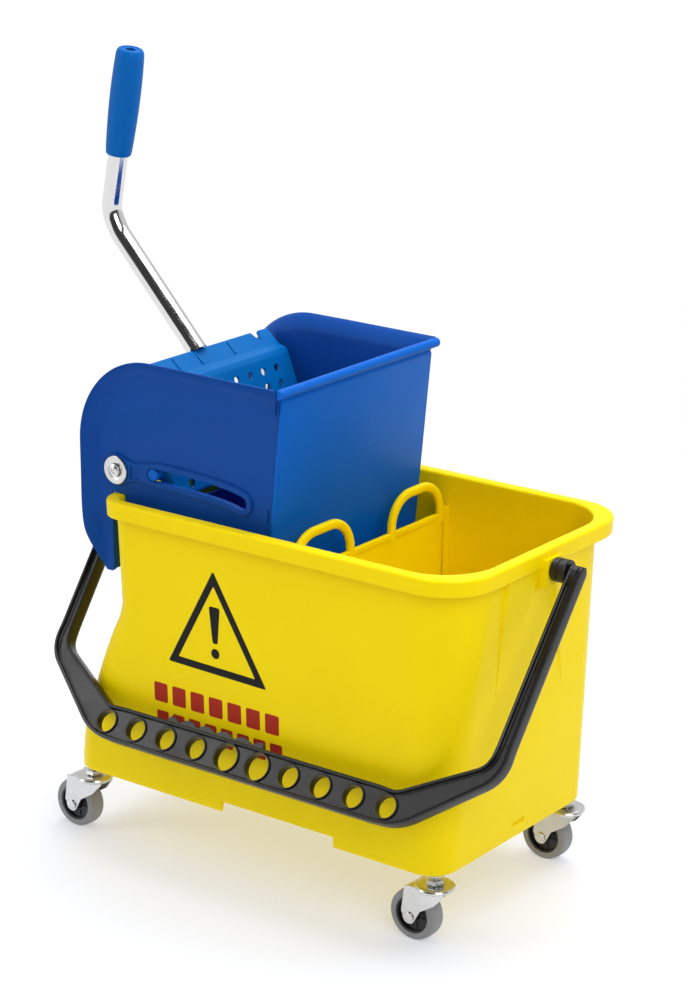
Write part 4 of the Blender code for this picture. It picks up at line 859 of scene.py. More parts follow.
def panel_outline():
    """Outline of a side panel: (x, z, share of the full flare)."""
    corner = (PANEL_LEFT_X + PANEL_CORNER, WRINGER_TOP_Z + 0.001 - PANEL_CORNER)
    points = [(FRONT_TOP_X, WRINGER_TOP_Z, 1.0), (0.004, WRINGER_TOP_Z + 0.0002, 1.0),
              (-0.030, WRINGER_TOP_Z + 0.0005, 1.0), (-0.070, WRINGER_TOP_Z + 0.0009, 1.0)]
    points += [(x, z, 1.0) for x, z in arc(corner, PANEL_CORNER, 90.0, 180.0, 28)]
    tail = [(PANEL_LEFT_X, 0.380, 1.0), (PANEL_LEFT_X, 0.345, 1.0), (-0.1985, 0.323, 0.95),
            (-0.1930, 0.309, 0.8), (-0.1865, 0.295, 0.45), (-0.1830, 0.286, 0.1),
            (-0.1800, TAIL_BOTTOM_Z, 0.0)]
    points += smooth_curve(tail, 4)
    points += [(RIM_SLOT_X[0] - 0.0020, TAIL_BOTTOM_Z, 0.0), (RIM_SLOT_X[0], TAIL_BOTTOM_Z + 0.0015, 0.0),
               (RIM_SLOT_X[0], RIM_Z + 0.0004, 0.0), (RIM_SLOT_X[1], RIM_Z + 0.0004, 0.0),
               (RIM_SLOT_X[1], 0.262, 0.0), (-0.1440, WRINGER_BOTTOM_Z, 0.0),
               (front_edge_x(WRINGER_BOTTOM_Z), WRINGER_BOTTOM_Z, 0.0), (front_edge_x(0.40), 0.40, 0.0),
               (front_edge_x(0.470), 0.470, 0.15), (front_edge_x(0.485), 0.485, 0.45)]
    return points


def inward(points):
    """Unit vectors that point into a closed (x, z, ...) outline."""
    area = sum(a[0] * b[1] - b[0] * a[1] for a, b in zip(points, points[1:] + points[:1]))
    sign = 1.0 if area > 0.0 else -1.0
    result = []
    for i, point in enumerate(points):
        before, after = Vector(points[i - 1][:2]), Vector(points[(i + 1) % len(points)][:2])
        here = Vector(point[:2])
        first, second = (here - before).normalized(), (after - here).normalized()
        normal = Vector((-(first.y + second.y), first.x + second.x)) * sign
        normal.normalize()
        corner = max(abs(normal.dot(Vector((-first.y, first.x)))), 0.6)
        result.append(normal / corner)
    return result


def flared_panel(side):
    """Sheet with a curved flare along its edge and a rounded bead at the very edge."""
    outline = panel_outline()
    normals = inward(outline)

    def ring(share, depth, edge_shift=0.0):
        points = []
        for (x, z, flare), normal in zip(outline, normals):
            inset = (0.0007 + FLARE_HEIGHT * flare) * (1.0 - share) + edge_shift
            out = FLARE_OUT * flare * share ** 1.7
            points.append((x + normal.x * inset, side * (PANEL_Y - depth + out), z + normal.y * inset))
        return points

    shares = (0.0, 0.2, 0.4, 0.6, 0.8, 0.96)
    rings = [ring(share, 0.0) for share in shares]
    rings += [ring(1.0, 0.0003, 0.0004), ring(1.0, PANEL_THICKNESS * 0.35), ring(1.0, PANEL_THICKNESS * 0.65),
              ring(1.0, PANEL_THICKNESS - 0.0003, 0.0004)]
    rings += [ring(share, PANEL_THICKNESS) for share in reversed(shares)]
    return loft(rings)


def guide_path(steps):
    """Middle line of the guide pin's travel as the lever turns, with its overrun."""
    points = []
    for i in range(steps + 1):
        lever = LINK_TRAVEL_DEG * i / steps
        hinge = turn_about(JAW_HINGE, LINK_PIVOT, lever)
        moved = turn_about(GUIDE_PIN, LINK_PIVOT, lever)
        points.append(turn_about(moved, hinge, lever * JAW_RATIO))
    last = Vector(points[-1])
    ahead = (last - Vector(points[-2])).normalized()
    points.append(tuple(last + ahead * SLOT_OVERRUN))
    return points


def ribbon(path, half_widths, end_steps=12):
    """Outline at a varying distance round an open (x, z) path, with round ends."""
    left, right = [], []
    for i, point in enumerate(path):
        before, after = Vector(path[max(i - 1, 0)]), Vector(path[min(i + 1, len(path) - 1)])
        along = (after - before).normalized()
        left.append((point[0] - along.y * half_widths[i], point[1] + along.x * half_widths[i]))
        right.append((point[0] + along.y * half_widths[i], point[1] - along.x * half_widths[i]))
    caps = []
    for centre, tip, inner in ((path[-1], path[-1], path[-2]), (path[0], path[1], path[0])):
        heading = math.degrees(math.atan2(tip[1] - inner[1], tip[0] - inner[0]))
        half = half_widths[-1] if centre is path[-1] else half_widths[0]
        start = heading - 90.0 if centre is path[-1] else heading + 90.0
        caps.append(arc(centre, half, start, start + 180.0, end_steps)[1:-1])
    return right + caps[0] + list(reversed(left)) + caps[1]


def slot_pad(side):
    """Raised pad that runs from the pivot washer, narrows, and goes round the guide slot."""
    path = guide_path(20)
    lead = [LINK_PIVOT, (-0.1530, 0.3856), (-0.1450, 0.3861), (-0.1370, 0.3866), (-0.1280, 0.3872)]
    lead_halves = [PAD_HEAD, PAD_HEAD * 0.80, PAD_WAIST + 0.0012, PAD_WAIST, PAD_WAIST + 0.0016]
    line = lead + path
    halves = lead_halves + [PAD_HALF - 0.0012] + [PAD_HALF] * (len(path) - 1)
    table = smooth_curve([(x, z, half) for (x, z), half in zip(line[:8], halves[:8])], 4)
    line = [row[:2] for row in table] + list(line[8:])
    halves = [row[2] for row in table] + list(halves[8:])
    outline = ribbon(line, halves)
    root, top = side * (PANEL_Y - 0.0010), side * (PANEL_Y + PAD_OUT)
    bm = loft([[(x, y, z) for x, z in outline] for y in (root, top)])
    rims = [e for e in bm.edges if all(abs(v.co.y - top) < 1e-7 for v in e.verts)]
    bmesh.ops.bevel(bm, geom=rims, offset=0.0010, segments=3, affect="EDGES")
    return bm


def panel_cuts(side):
    """Guide slot, pivot hole and the shallow recesses in a side panel."""
    through = (side * (PANEL_Y - 0.010), side * (PANEL_Y + 0.010))
    path = guide_path(20)
    cuts = [side_plate(ribbon(path, [SLOT_HALF] * len(path)), *through),
            side_plate(circle(LINK_PIVOT, 0.0043, 24), *through)]
    shallow = (side * (PANEL_Y + PAD_OUT - 0.0012), side * (PANEL_Y + 0.010))
    recess = fillet([(-0.1455, 0.3795), (-0.1345, 0.3800), (-0.1345, 0.3920), (-0.1455, 0.3915)], 0.0008, 3)
    cuts.append(side_plate(recess, *shallow))
    nick = (side * (PANEL_Y - 0.0012), side * (PANEL_Y + 0.010))
    for z in (0.4776, 0.3733):
        x = front_edge_x(z) - 0.0048
        slit = [(x - 0.0014, z - 0.0065), (x + 0.0006, z - 0.0065), (x + 0.0019, z + 0.0065),
                (x - 0.0001, z + 0.0065)]
        cuts.append(side_plate(fillet(slit, 0.0005, 2), *nick))
    return joined(cuts)


def make_side_panels(finishes):
    """The two flared side panels of the wringer."""
    for name, side in (("near", -1), ("far", 1)):
        flange_y = sorted((side * 0.1005, side * 0.1118))
        flange = box((RIM_SLOT_X[0] - 0.0032, flange_y[0], TAIL_BOTTOM_Z + 0.0020),
                     (RIM_SLOT_X[0] - 0.0004, flange_y[1], RIM_Z - 0.0030))
        bm = combine(flared_panel(side), [slot_pad(side), flange], "UNION")
        bm = combine(bm, [panel_cuts(side)], "DIFFERENCE")
        place("side_panel_" + name, bm, finishes["panel"], "wringer_basket",
              ("wringer_side_" + name,))


def make_front_panel(finishes):
    """Leaning front panel with a rolled top edge."""
    gap, outer = 0.0003, 0.0032
    profile = []
    for z, out in ((WRINGER_BOTTOM_Z, 0.0), (WRINGER_BOTTOM_Z, outer), (0.4835, outer), (0.4862, 0.0014),
                   (0.488, 0.0014)):
        profile.append((front_edge_x(z) + gap + out, z))
    roll = (front_edge_x(0.4935) + gap + 0.0026, 0.4930)
    profile += arc(roll, ROLL_RADIUS, -60.0, 150.0, 20)
    profile.append((front_edge_x(roll[1]) + gap, roll[1]))
    half = PANEL_Y + 0.0015
    sheet = side_plate(profile, -half, half, bevel=0.0004)
    ends = []
    for side in (-1, 1):
        span = sorted((side * (half - 0.004), side * (PANEL_Y + 0.0088)))
        ends.append(side_plate(arc(roll, ROLL_RADIUS, -112.0, 112.0, 24), *span, bevel=0.0006))
    place("front_panel", combine(sheet, ends, "UNION"), finishes["front"], "wringer_basket",
          ("wringer_front_panel",))


def make_pivot_hardware(finishes):
    """Washer and cross-head screw at each pivot of the wringer."""
    x, z = LINK_PIVOT
    for name, side in (("near", -1), ("far", 1)):
        face_y = PANEL_Y + PAD_OUT + 0.0003
        washer = [(0.0043, 0.0), (0.0136, 0.0), (0.0140, 0.0004), (0.0140, 0.0013), (0.0134, 0.0018),
                  (0.0075, 0.0018), (0.0070, 0.0015), (0.0043, 0.0015)]
        turn = Matrix.Rotation(math.radians(180.0 if side < 0 else 0.0), 4, "Z")
        to_side = Matrix.Translation((x, side * face_y, z)) @ turn
        bm = turned(washer, 56, axis="Y")
        bm.transform(to_side)
        place("washer_" + name, bm, finishes["zinc"], "wringer_basket",
              ("pivot_washer_" + name,))
        head = [(0.0, 0.0021)] + [(0.0064, 0.0021), (0.0066, 0.0024), (0.0066, 0.0031)]
        head += [(0.0066 * math.cos(math.radians(a)), 0.0031 + 0.0022 * math.sin(math.radians(a)))
                 for a in (20, 40, 60, 78)] + [(0.0, 0.0054)]
        screw = turned(head, 44, axis="Y")
        shank = rod(0.0040, (0.0, -0.0264, 0.0), (0.0, 0.0026, 0.0), 24)
        cross = [box((-0.0031, 0.0042, -0.0006), (0.0031, 0.0060, 0.0006)),
                 box((-0.0006, 0.0042, -0.0031), (0.0006, 0.0060, 0.0031))]
        bm = combine(screw, [shank], "UNION")
        bm = combine(bm, cross, "DIFFERENCE")
        bm.transform(to_side @ Matrix.Rotation(math.radians(35.0), 4, "Y"))
        place("screw_" + name, bm, finishes["zinc"], "wringer_basket", ("pivot_screw_" + name,))


# ---------------------------------------------------------------- press jaw and lever
def jaw_axes():
    """Top point, downward direction and outward direction of the pressing face in the side view."""
    lean = math.radians(JAW_LEAN_DEG)
    down = Vector((math.sin(lean), -math.cos(lean)))
    return Vector(JAW_TOP), down, Vector((-down.y, down.x))


def jaw_sheet():
    """Hood, crease, rounded step and long pressing face as one bent sheet."""
    top, down, out = jaw_axes()
    foot = top + down * JAW_LENGTH
    back = Vector(HOOD_BACK)
    outer = [back, Vector((-0.1410, 0.4674)), Vector((-0.1375, 0.4662)), top + out * 0.0002,
             top + down * 0.0060 + out * 0.0018, foot, foot - out * 0.0105]
    inner = [foot - out * 0.0105 - down * 0.0030, foot - out * JAW_SHEET - down * 0.0032,
             top + down * 0.0070 + out * (0.0014 - JAW_SHEET), top + down * 0.0020 - out * 0.0036,
             Vector((-0.1380, 0.4634)), Vector((-0.1420, 0.4649)), back + Vector((-0.0010, -0.0030))]
    radii = [0.0012, 0.0060, 0.0060, 0.0040, 0.0060, 0.0035, 0.0010, 0.0010, 0.0015, 0.0050, 0.0030, 0.0040,
             0.0040, 0.0012]
    outline = fillet([tuple(p) for p in outer + inner], radii, 5)
    return side_plate(outline, -JAW_HALF, JAW_HALF)


def jaw_trimmings():
    """End ears, stiffening ribs behind the face, and the small ribs on the hood."""
    top, down, out = jaw_axes()
    parts = []
    pin, hinge, back = Vector(GUIDE_PIN), Vector(JAW_HINGE), Vector(HOOD_BACK)
    for side in (-1, 1):
        ear = [top + down * 0.004 - out * 0.001, top + down * 0.094 - out * 0.001,
               pin + Vector((0.0040, -0.0085)), pin + Vector((-0.0060, -0.0060)),
               pin + Vector((-0.0085, 0.0020)), hinge + Vector((-0.0060, -0.0030)),
               Vector((-0.1555, 0.4770)), back + Vector((0.0020, -0.0020)), Vector((-0.1400, 0.4655))]
        outline = fillet([tuple(p) for p in ear], 0.0030, 4)
        parts.append(side_plate(outline, *sorted((side * JAW_EAR_Y[0], side * JAW_EAR_Y[1]))))
    for y in RIB_PLACES:
        rib = [top + down * 0.018 - out * 0.0005, top + down * (JAW_LENGTH - 0.004) - out * 0.0015,
               top + down * (JAW_LENGTH - 0.004) - out * 0.009, top + down * 0.026 - out * 0.009]
        parts.append(side_plate([tuple(p) for p in rib], y - 0.0015, y + 0.0015))
        hood_rib = [(-0.1545, 0.4775), (-0.1543, 0.4802), (-0.1430, 0.4707), (-0.1425, 0.4680)]
        parts.append(side_plate(hood_rib, y * 0.8 - 0.0012, y * 0.8 + 0.0012, bevel=0.0004))
    for row in range(HOLE_ROWS):
        root = top + down * (0.0175 + (row + 0.5) * HOLE_PITCH[1])
        fin = [root - down * 0.0008 - out * 0.0008, root + down * 0.0008 - out * 0.0008,
               root + down * 0.0008 - out * FIN_DEPTH, root - down * 0.0008 - out * FIN_DEPTH]
        parts.append(side_plate([tuple(p) for p in fin], -JAW_EAR_Y[0] - 0.001, JAW_EAR_Y[0] + 0.001))
    pad = [(-0.1570, 0.4790), (-0.1480, 0.4722), (-0.1502, 0.4682), (-0.1570, 0.4741)]
    parts.append(side_plate(pad, -0.0080, 0.0080))
    return parts


def bolt_point(depth):
    """A point on the lever bolt's axis, at a depth below the hood's upper face."""
    below = Vector(HOOD_BACK) + Vector((0.0045, -0.0038)) - Vector((0.648, 0.762)) * depth
    return (below.x, 0.0, below.y)


def jaw_cuts():
    """Perforations, end notches in the hood, and the holes for the bolt, rod and pins."""
    top, down, out = jaw_axes()
    cuts = [rod(0.0027, bolt_point(0.0032), bolt_point(0.014), 24)]
    for side in (-1, 1):
        span = (side * (JAW_EAR_Y[0] - 0.004), side * (JAW_EAR_Y[1] + 0.004))
        cuts.append(side_plate(circle(JAW_HINGE, 0.0023, 20), *span))
        cuts.append(side_plate(circle(GUIDE_PIN, 0.0038, 24), *span))
        notch_y = side * 0.0860
        notch = fillet([(notch_y - 0.0120, 0.4900), (notch_y, 0.4690), (notch_y + 0.0100, 0.4900)],
                       (0.0, 0.0040, 0.0), 6)
        cuts.append(loft([[(x, y, z) for y, z in notch] for x in (-0.1700, -0.1440)]))
    for row in range(HOLE_ROWS):
        centre = top + down * (0.0175 + row * HOLE_PITCH[1])
        start, end = centre + out * 0.004, centre - out * 0.005
        for column in range(HOLE_COLUMNS):
            y = (column - (HOLE_COLUMNS - 1) / 2.0) * HOLE_PITCH[0]
            cuts.append(rod(HOLE_RADIUS, (start.x, y, start.y), (end.x, y, end.y), 28))
    return joined(cuts)


def make_jaw(finishes):
    """Perforated press jaw with its hood."""
    bm = combine(jaw_sheet(), jaw_trimmings(), "UNION")
    bm = combine(bm, [jaw_cuts()], "DIFFERENCE")
    place("jaw_casting", bm, finishes["jaw"], "jaw_and_lever", ("press_jaw",))


def swept_rings(path, radius, segments):
    """Rings of a round section along an (x, z) path in the middle plane."""
    rings = []
    for i, point in enumerate(path):
        before, after = path[max(i - 1, 0)], path[min(i + 1, len(path) - 1)]
        along = (Vector(after) - Vector(before)).normalized()
        rings.append([(point[0] + along.y * a, b, point[1] - along.x * a)
                      for a, b in circle((0.0, 0.0), radius, segments)])
    return rings


def make_lever(finishes):
    """Bent chrome tube with its bolted end, and the moulded grip."""
    corner_radii = (0.0, 0.055, 0.040, 0.0)
    path = fillet(list(TUBE_LINE), corner_radii, 16, closed=False)
    outer = swept_rings(path, TUBE_RADIUS, 48)
    inner = swept_rings(path, TUBE_RADIUS - TUBE_WALL, 48)
    bm = loft(outer + list(reversed(inner)), closed=True)
    saddle = [(-0.1583, 0.4400), (-0.1583, 0.4822), (-0.1560, 0.4820), (-0.1400, 0.4690), (-0.1200, 0.4400)]
    bm = combine(bm, [side_plate(saddle, -0.020, 0.020)], "DIFFERENCE")
    low, high = Vector((-0.1490, 0.4625)), Vector((-0.1695, 0.4835))
    direction = (high - low).normalized()
    across = Vector((direction.y, -direction.x)) * 0.0016
    tang = [tuple(low + across), tuple(high + across), tuple(high - across), tuple(low - across)]
    bm = combine(bm, [side_plate(fillet(tang, 0.0007, 3), -0.0080, 0.0080, bevel=0.0003)], "UNION")
    bm = combine(bm, [rod(0.0027, bolt_point(-0.006), bolt_point(0.016), 24)], "DIFFERENCE")
    place("lever_tube_bent", bm, finishes["chrome"], "jaw_and_lever", ("lever_tube",))

    start, end = Vector(GRIP_LINE[0]), Vector(GRIP_LINE[1])
    length = (end - start).length
    outline = smooth_curve([(0.0124, 0.0010), (0.0130, 0.0060), (0.0137, 0.0180), (0.0146, 0.0400),
                            (0.0149, 0.0620), (0.0146, 0.0820), (0.0138, length - 0.0060)], 5)
    profile = [(TUBE_RADIUS + 0.0003, 0.0), (0.0116, 0.0)] + outline
    profile += [(0.0131, length - 0.0030), (0.0118, length - 0.0010), (0.0100, length - 0.0002),
                (0.0086, length - 0.0004), (0.0080, length - 0.0010), (0.0050, length - 0.0012),
                (0.0050, 0.020), (TUBE_RADIUS + 0.0003, 0.020)]
    grip = turned(profile, 72)
    turn = Vector((end.x - start.x, 0.0, end.y - start.y)).to_track_quat("Z", "Y").to_matrix().to_4x4()
    grip.transform(Matrix.Translation((start.x, 0.0, start.y)) @ turn)
    place("grip_moulding", grip, finishes["grip"], "jaw_and_lever", ("lever_grip",))


# ---------------------------------------------------------------- casters
def fork_cheek(x, side):
    """One cheek of the fork: a flat rear band and a front web that leans in under the round head."""
    head_z = FORK_TOP_Z - 0.0048
    axle = (x - CASTER_TRAIL, WHEEL_RADIUS)
    outline = [(x - 0.0255, head_z + 0.0014), (x - 0.0290, 0.0290)]
    outline += arc(axle, 0.0068, 170.0, 315.0, 12)
    outline += [(x - 0.0085, 0.0330), (x + 0.0060, 0.0420), (x + 0.0158, head_z - 0.0004),
                (x + 0.0120, head_z + 0.0008)]
    y_from, y_to = side * FORK_INNER, side * (FORK_INNER + FORK_SHEET)
    bm = loft([[(px, y, z) for px, z in outline] for y in (y_from, y_to)])
    crease = x - 0.0135
    for cut in (crease - 0.0012, crease + 0.0012, crease + 0.008, crease + 0.016):
        bmesh.ops.bisect_plane(bm, geom=bm.verts[:] + bm.edges[:] + bm.faces[:], plane_co=(cut, 0.0, 0.0),
                               plane_no=(1.0, 0.0, 0.0), dist=1e-6)
    for vert in bm.verts:
        lean = min(max((vert.co.x - crease) / 0.024, 0.0), 1.0)
        rise = min(max((vert.co.z - 0.026) / 0.028, 0.0), 1.0)
        groove = 0.0005 if abs(vert.co.x - crease) < 0.002 else 0.0
        vert.co.y -= side * (0.0042 * lean * rise + groove)
    return bm


def make_fork(name, centre, finishes):
    """Pressed and plated fork with a round ball-race head."""
    x, y = centre
    head_z = FORK_TOP_Z - 0.0048
    race = [(0.0058, 0.0010), (0.0070, 0.0042), (0.0120, 0.0048), (HEAD_RADIUS - 0.0022, 0.0048),
            (HEAD_RADIUS - 0.0007, 0.0042), (HEAD_RADIUS, 0.0028), (HEAD_RADIUS - 0.0002, 0.0014),
            (HEAD_RADIUS - 0.0012, 0.0010), (HEAD_RADIUS - 0.0024, 0.0012), (HEAD_RADIUS - 0.0030, 0.0024),
            (0.0058 + 0.0030, 0.0024)]
    plate = [(0.0058, -0.0002), (HEAD_RADIUS - 0.0030, -0.0004), (HEAD_RADIUS - 0.0016, -0.0002),
             (HEAD_RADIUS - 0.0012, 0.0006), (HEAD_RADIUS - 0.0018, 0.0015), (0.0058, 0.0015)]
    parts = [turned(race, 64, (x, y, head_z)), turned(plate, 64, (x, y, head_z))]
    roof = [(x - 0.0255, head_z + 0.0005), (x - 0.0215, head_z + 0.0018), (x - 0.0100, head_z + 0.0018),
            (x - 0.0100, head_z + 0.0002), (x - 0.0250, head_z - 0.0012)]
    roof_half = FORK_INNER + FORK_SHEET
    parts.append(side_plate(fillet(roof, 0.0006, 3), y - roof_half, y + roof_half))
    for side in (-1, 1):
        cheek = fork_cheek(x, side)
        cheek.transform(Matrix.Translation((0.0, y, 0.0)))
        parts.append(cheek)
    bm = combine(parts[0], parts[1:], "UNION")
    place("fork_" + name, bm, finishes["zinc"], "caster_" + name + "_swivel",
          ("caster_" + name + "_fork",), bevel=0.0003)


def make_axle(name, centre, finishes):
    """Axle rivet with a domed head at each cheek."""
    x, y = centre[0] - CASTER_TRAIL, centre[1]
    parts = [rod(0.0031, (x, y - 0.0140, WHEEL_RADIUS), (x, y + 0.0140, WHEEL_RADIUS), 24)]
    for side in (-1, 1):
        base = FORK_INNER + FORK_SHEET + 0.0002
        dome = [(0.0, 0.0), (0.0050, 0.0), (0.0050, 0.0007), (0.0044, 0.0013), (0.0026, 0.0017),
                (0.0, 0.0017)]
        cap = turned(dome, 36, axis="Y")
        cap.transform(Matrix.Translation((x, y + side * base, WHEEL_RADIUS))
                      @ Matrix.Rotation(math.radians(180.0 if side < 0 else 0.0), 4, "Z"))
        parts.append(cap)
    place("axle_rivet_" + name, combine(parts[0], parts[1:], "UNION"), finishes["zinc"],
          "caster_" + name + "_swivel", ("caster_" + name + "_axle",))


def make_wheel(name, centre, finishes):
    """Black hub with a dished web and ribs, and a grey tyre with rounded shoulders."""
    x, y = centre[0] - CASTER_TRAIL, centre[1]
    half, rim = TYRE_WIDTH / 2.0, 0.0178
    side_of_hub = [(0.0040, 0.0098), (0.0062, 0.0098), (0.0068, 0.0092), (0.0072, 0.0048), (0.0095, 0.0040),
                   (0.0130, 0.0042), (0.0150, 0.0050), (0.0154, half - 0.0012), (0.0158, half - 0.0006),
                   (rim - 0.0004, half - 0.0006)]
    hub = side_of_hub + [(radius, -height) for radius, height in reversed(side_of_hub)]
    bm = turned(hub, 64, (x, y, WHEEL_RADIUS), "Y")
    ribs = []
    for i in range(6):
        angle = math.radians(60.0 * i + 15.0)
        for side in (-1, 1):
            rib = box((0.0068, -0.0006, side * 0.0030 - 0.0020), (0.0152, 0.0006, side * 0.0030 + 0.00288))
            to_wheel = Matrix.Translation((x, y, WHEEL_RADIUS)) @ AXIS_TURNS["Y"]
            rib.transform(to_wheel @ Matrix.Rotation(angle, 4, "Z"))
            ribs.append(rib)
    place("hub_" + name, combine(bm, [joined(ribs)], "UNION"), finishes["black"],
          "caster_" + name + "_wheel", ("caster_" + name + "_hub",))
    section = [(rim, half), (0.0208, half), (0.0216, half + 0.0001), (0.0236, half - 0.0007),
               (0.0244, half - 0.0018),
               (0.02480, half - 0.0036), (0.02495, half - 0.0060), (WHEEL_RADIUS, 0.0)]
    tyre = section + [(radius, -height) for radius, height in reversed(section[:-1])]
    place("tyre_" + name, turned(tyre, 96, (x, y, WHEEL_RADIUS), "Y"), finishes["tyre"],
          "caster_" + name + "_wheel", ("caster_" + name + "_tyre",))


def make_stem(name, centre, finishes):
    """Threaded stem with a hexagon nut and washer between the fork and the bucket."""
    x, y = centre
    low_z, nut_z = FORK_TOP_Z - 0.0040, FORK_TOP_Z + 0.0008
    profile = [(0.0, low_z), (0.0046, low_z), (0.0050, low_z + 0.0004), (0.0050, nut_z + 0.0046)]
    turns, pitch = 5, 0.0010
    for i in range(turns):
        z = nut_z + 0.0050 + i * pitch
        profile += [(0.0044, z), (0.0050, z + pitch * 0.5)]
    profile += [(0.0050, BASE_Z + 0.0076), (0.0, BASE_Z + 0.0080)]
    stem = turned(profile, 28, (x, y, 0.0))
    nut = loft([[(x + px, y + py, z) for px, py in circle((0.0, 0.0), radius, 6)]
                for z, radius in ((nut_z, 0.0080), (nut_z + 0.0006, 0.0088), (nut_z + 0.0040, 0.0088),
                                  (nut_z + 0.0046, 0.0080))])
    height = BASE_Z - 0.0003
    washer = turned([(0.0, height - 0.0014), (0.0098, height - 0.0014), (0.0102, height - 0.0010),
                     (0.0102, height - 0.0003), (0.0098, height), (0.0, height)], 40, (x, y, 0.0))
    place("stem_" + name, combine(stem, [nut, washer], "UNION"), finishes["zinc"], "base",
          ("caster_" + name + "_stem",), smooth_deg=25.0)


# ---------------------------------------------------------------- nodes that keep their shape
PLAIN_NODES = {
    "panel": ("wringer_drain_floor", "wringer_back_panel"),
    "front": ("pivot_sleeve_near", "pivot_sleeve_far", "guide_pin_near", "guide_pin_far"),
    "black": ("bail_pin_left", "bail_pin_right"),
    "zinc": ("press_link_near", "press_link_far", "jaw_hinge_rod", "lever_bolt"),
}


def refinish_plain_nodes(finishes):
    """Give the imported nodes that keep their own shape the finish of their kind."""
    for finish, names in PLAIN_NODES.items():
        for name in names:
            node = frame["nodes"][name]
            node.data.materials.clear()
            node.data.materials.append(finishes[finish])


# ---------------------------------------------------------------- stage
def stage_surface(name, half, z, material):
    """A flat square that isn't part of the object."""
    bm = bmesh.new()
    bm.faces.new([bm.verts.new((sx * half, sy * half, z)) for sx, sy in ((-1, -1), (1, -1), (1, 1), (-1, 1))])
    mesh = bpy.data.meshes.new(name)
    bm.to_mesh(mesh)
    bm.free()
    mesh.materials.append(material)
    surface = bpy.data.objects.new(name, mesh)
    bpy.context.collection.objects.link(surface)
    return surface


def area_light(name, place_at, look_at, size, power):
    """A soft rectangular lamp."""
    lamp = bpy.data.lights.new(name, "AREA")
    lamp.shape = "RECTANGLE"
    lamp.size, lamp.size_y = size
    lamp.energy = power
    holder = bpy.data.objects.new(name, lamp)
    holder.location = place_at
    holder.rotation_euler = (Vector(look_at) - Vector(place_at)).to_track_quat("-Z", "Y").to_euler()
    bpy.context.collection.objects.link(holder)


def studio_surroundings(brightness):
    """A bright studio with a dark side behind the viewpoint, and plain white where the camera looks."""
    world = bpy.data.worlds.new("studio")
    bpy.context.scene.world = world
    world.use_nodes = True
    world.node_tree.nodes.clear()
    paint = Paint(world.node_tree)
    azimuth = math.radians(CAMERA_AZIMUTH_DEG)
    toward = Vector((math.sin(azimuth), -math.cos(azimuth), 0.15)).normalized()
    direction = paint.node("ShaderNodeTexCoord", output="Generated")
    facing = paint.node("ShaderNodeVectorMath", {"operation": "DOT_PRODUCT"}, {0: direction, 1: toward},
                        output="Value")
    shade = paint.node("ShaderNodeMapRange", {"interpolation_type": "SMOOTHSTEP"},
                       {"Value": facing, "From Min": 0.05, "From Max": 0.65, "To Min": brightness,
                        "To Max": DARK_SIDE})
    white = (1.0, 1.0, 1.0, 1.0)
    lighting = paint.node("ShaderNodeBackground", {}, {"Color": white, "Strength": shade})
    backdrop = paint.node("ShaderNodeBackground", {}, {"Color": white, "Strength": 1.0})
    seen = paint.node("ShaderNodeLightPath", output="Is Camera Ray")
    surface = paint.node("ShaderNodeMixShader", {}, {0: seen, 1: lighting, 2: backdrop})
    paint.node("ShaderNodeOutputWorld", {}, {"Surface": surface})


def set_camera():
    """The catalogue viewpoint."""
    camera = bpy.data.cameras.new("viewpoint")
    camera.lens = CAMERA_LENS
    camera.sensor_width = 36.0
    camera.clip_end = 40.0
    holder = bpy.data.objects.new("viewpoint", camera)
    azimuth, elevation = math.radians(CAMERA_AZIMUTH_DEG), math.radians(CAMERA_ELEVATION_DEG)
    forward = Vector((-math.sin(azimuth) * math.cos(elevation), math.cos(azimuth) * math.cos(elevation),
                      -math.sin(elevation)))
    holder.location = CAMERA_PLACE + DRAWING_SHIFT
    holder.rotation_euler = forward.to_track_quat("-Z", "Y").to_euler()
    bpy.context.collection.objects.link(holder)
    bpy.context.scene.camera = holder


def floor_finish(colour):
    """Matt seamless paper, brought up to white by a painted glow: near the object a constant emission lifts
    its shadows, and further out it fades to a flat white glow.
    """
    paint = Finish("studio_paper")
    fibres = paint.noise(300.0, 3.0, 0.6)
    place_on = paint.node("ShaderNodeTexCoord", output="Object")
    distance = paint.node("ShaderNodeVectorMath", {"operation": "LENGTH"}, {0: place_on}, output="Value")
    beyond = paint.ramp(distance * 0.5, [(0.22, 0.0), (0.60, 1.0)])
    paper = paint.blend(fibres * 0.3, opaque(colour), opaque(shaded(colour, 0.985)))
    # painted glow: a constant emission near the object lifts the floor's shadows, and far out it becomes flat
    # white
    glow = paint.blend(beyond, opaque((PAPER_GLOW, PAPER_GLOW, PAPER_GLOW)), (1.0, 1.0, 1.0, 1.0))
    paint.set(Base_Color=paint.blend(beyond, paper, (0.0, 0.0, 0.0, 1.0)), Emission_Color=glow)
    paint.set(Roughness=0.85, Specular_IOR_Level=0.15, Emission_Strength=1.0)
    return paint.material


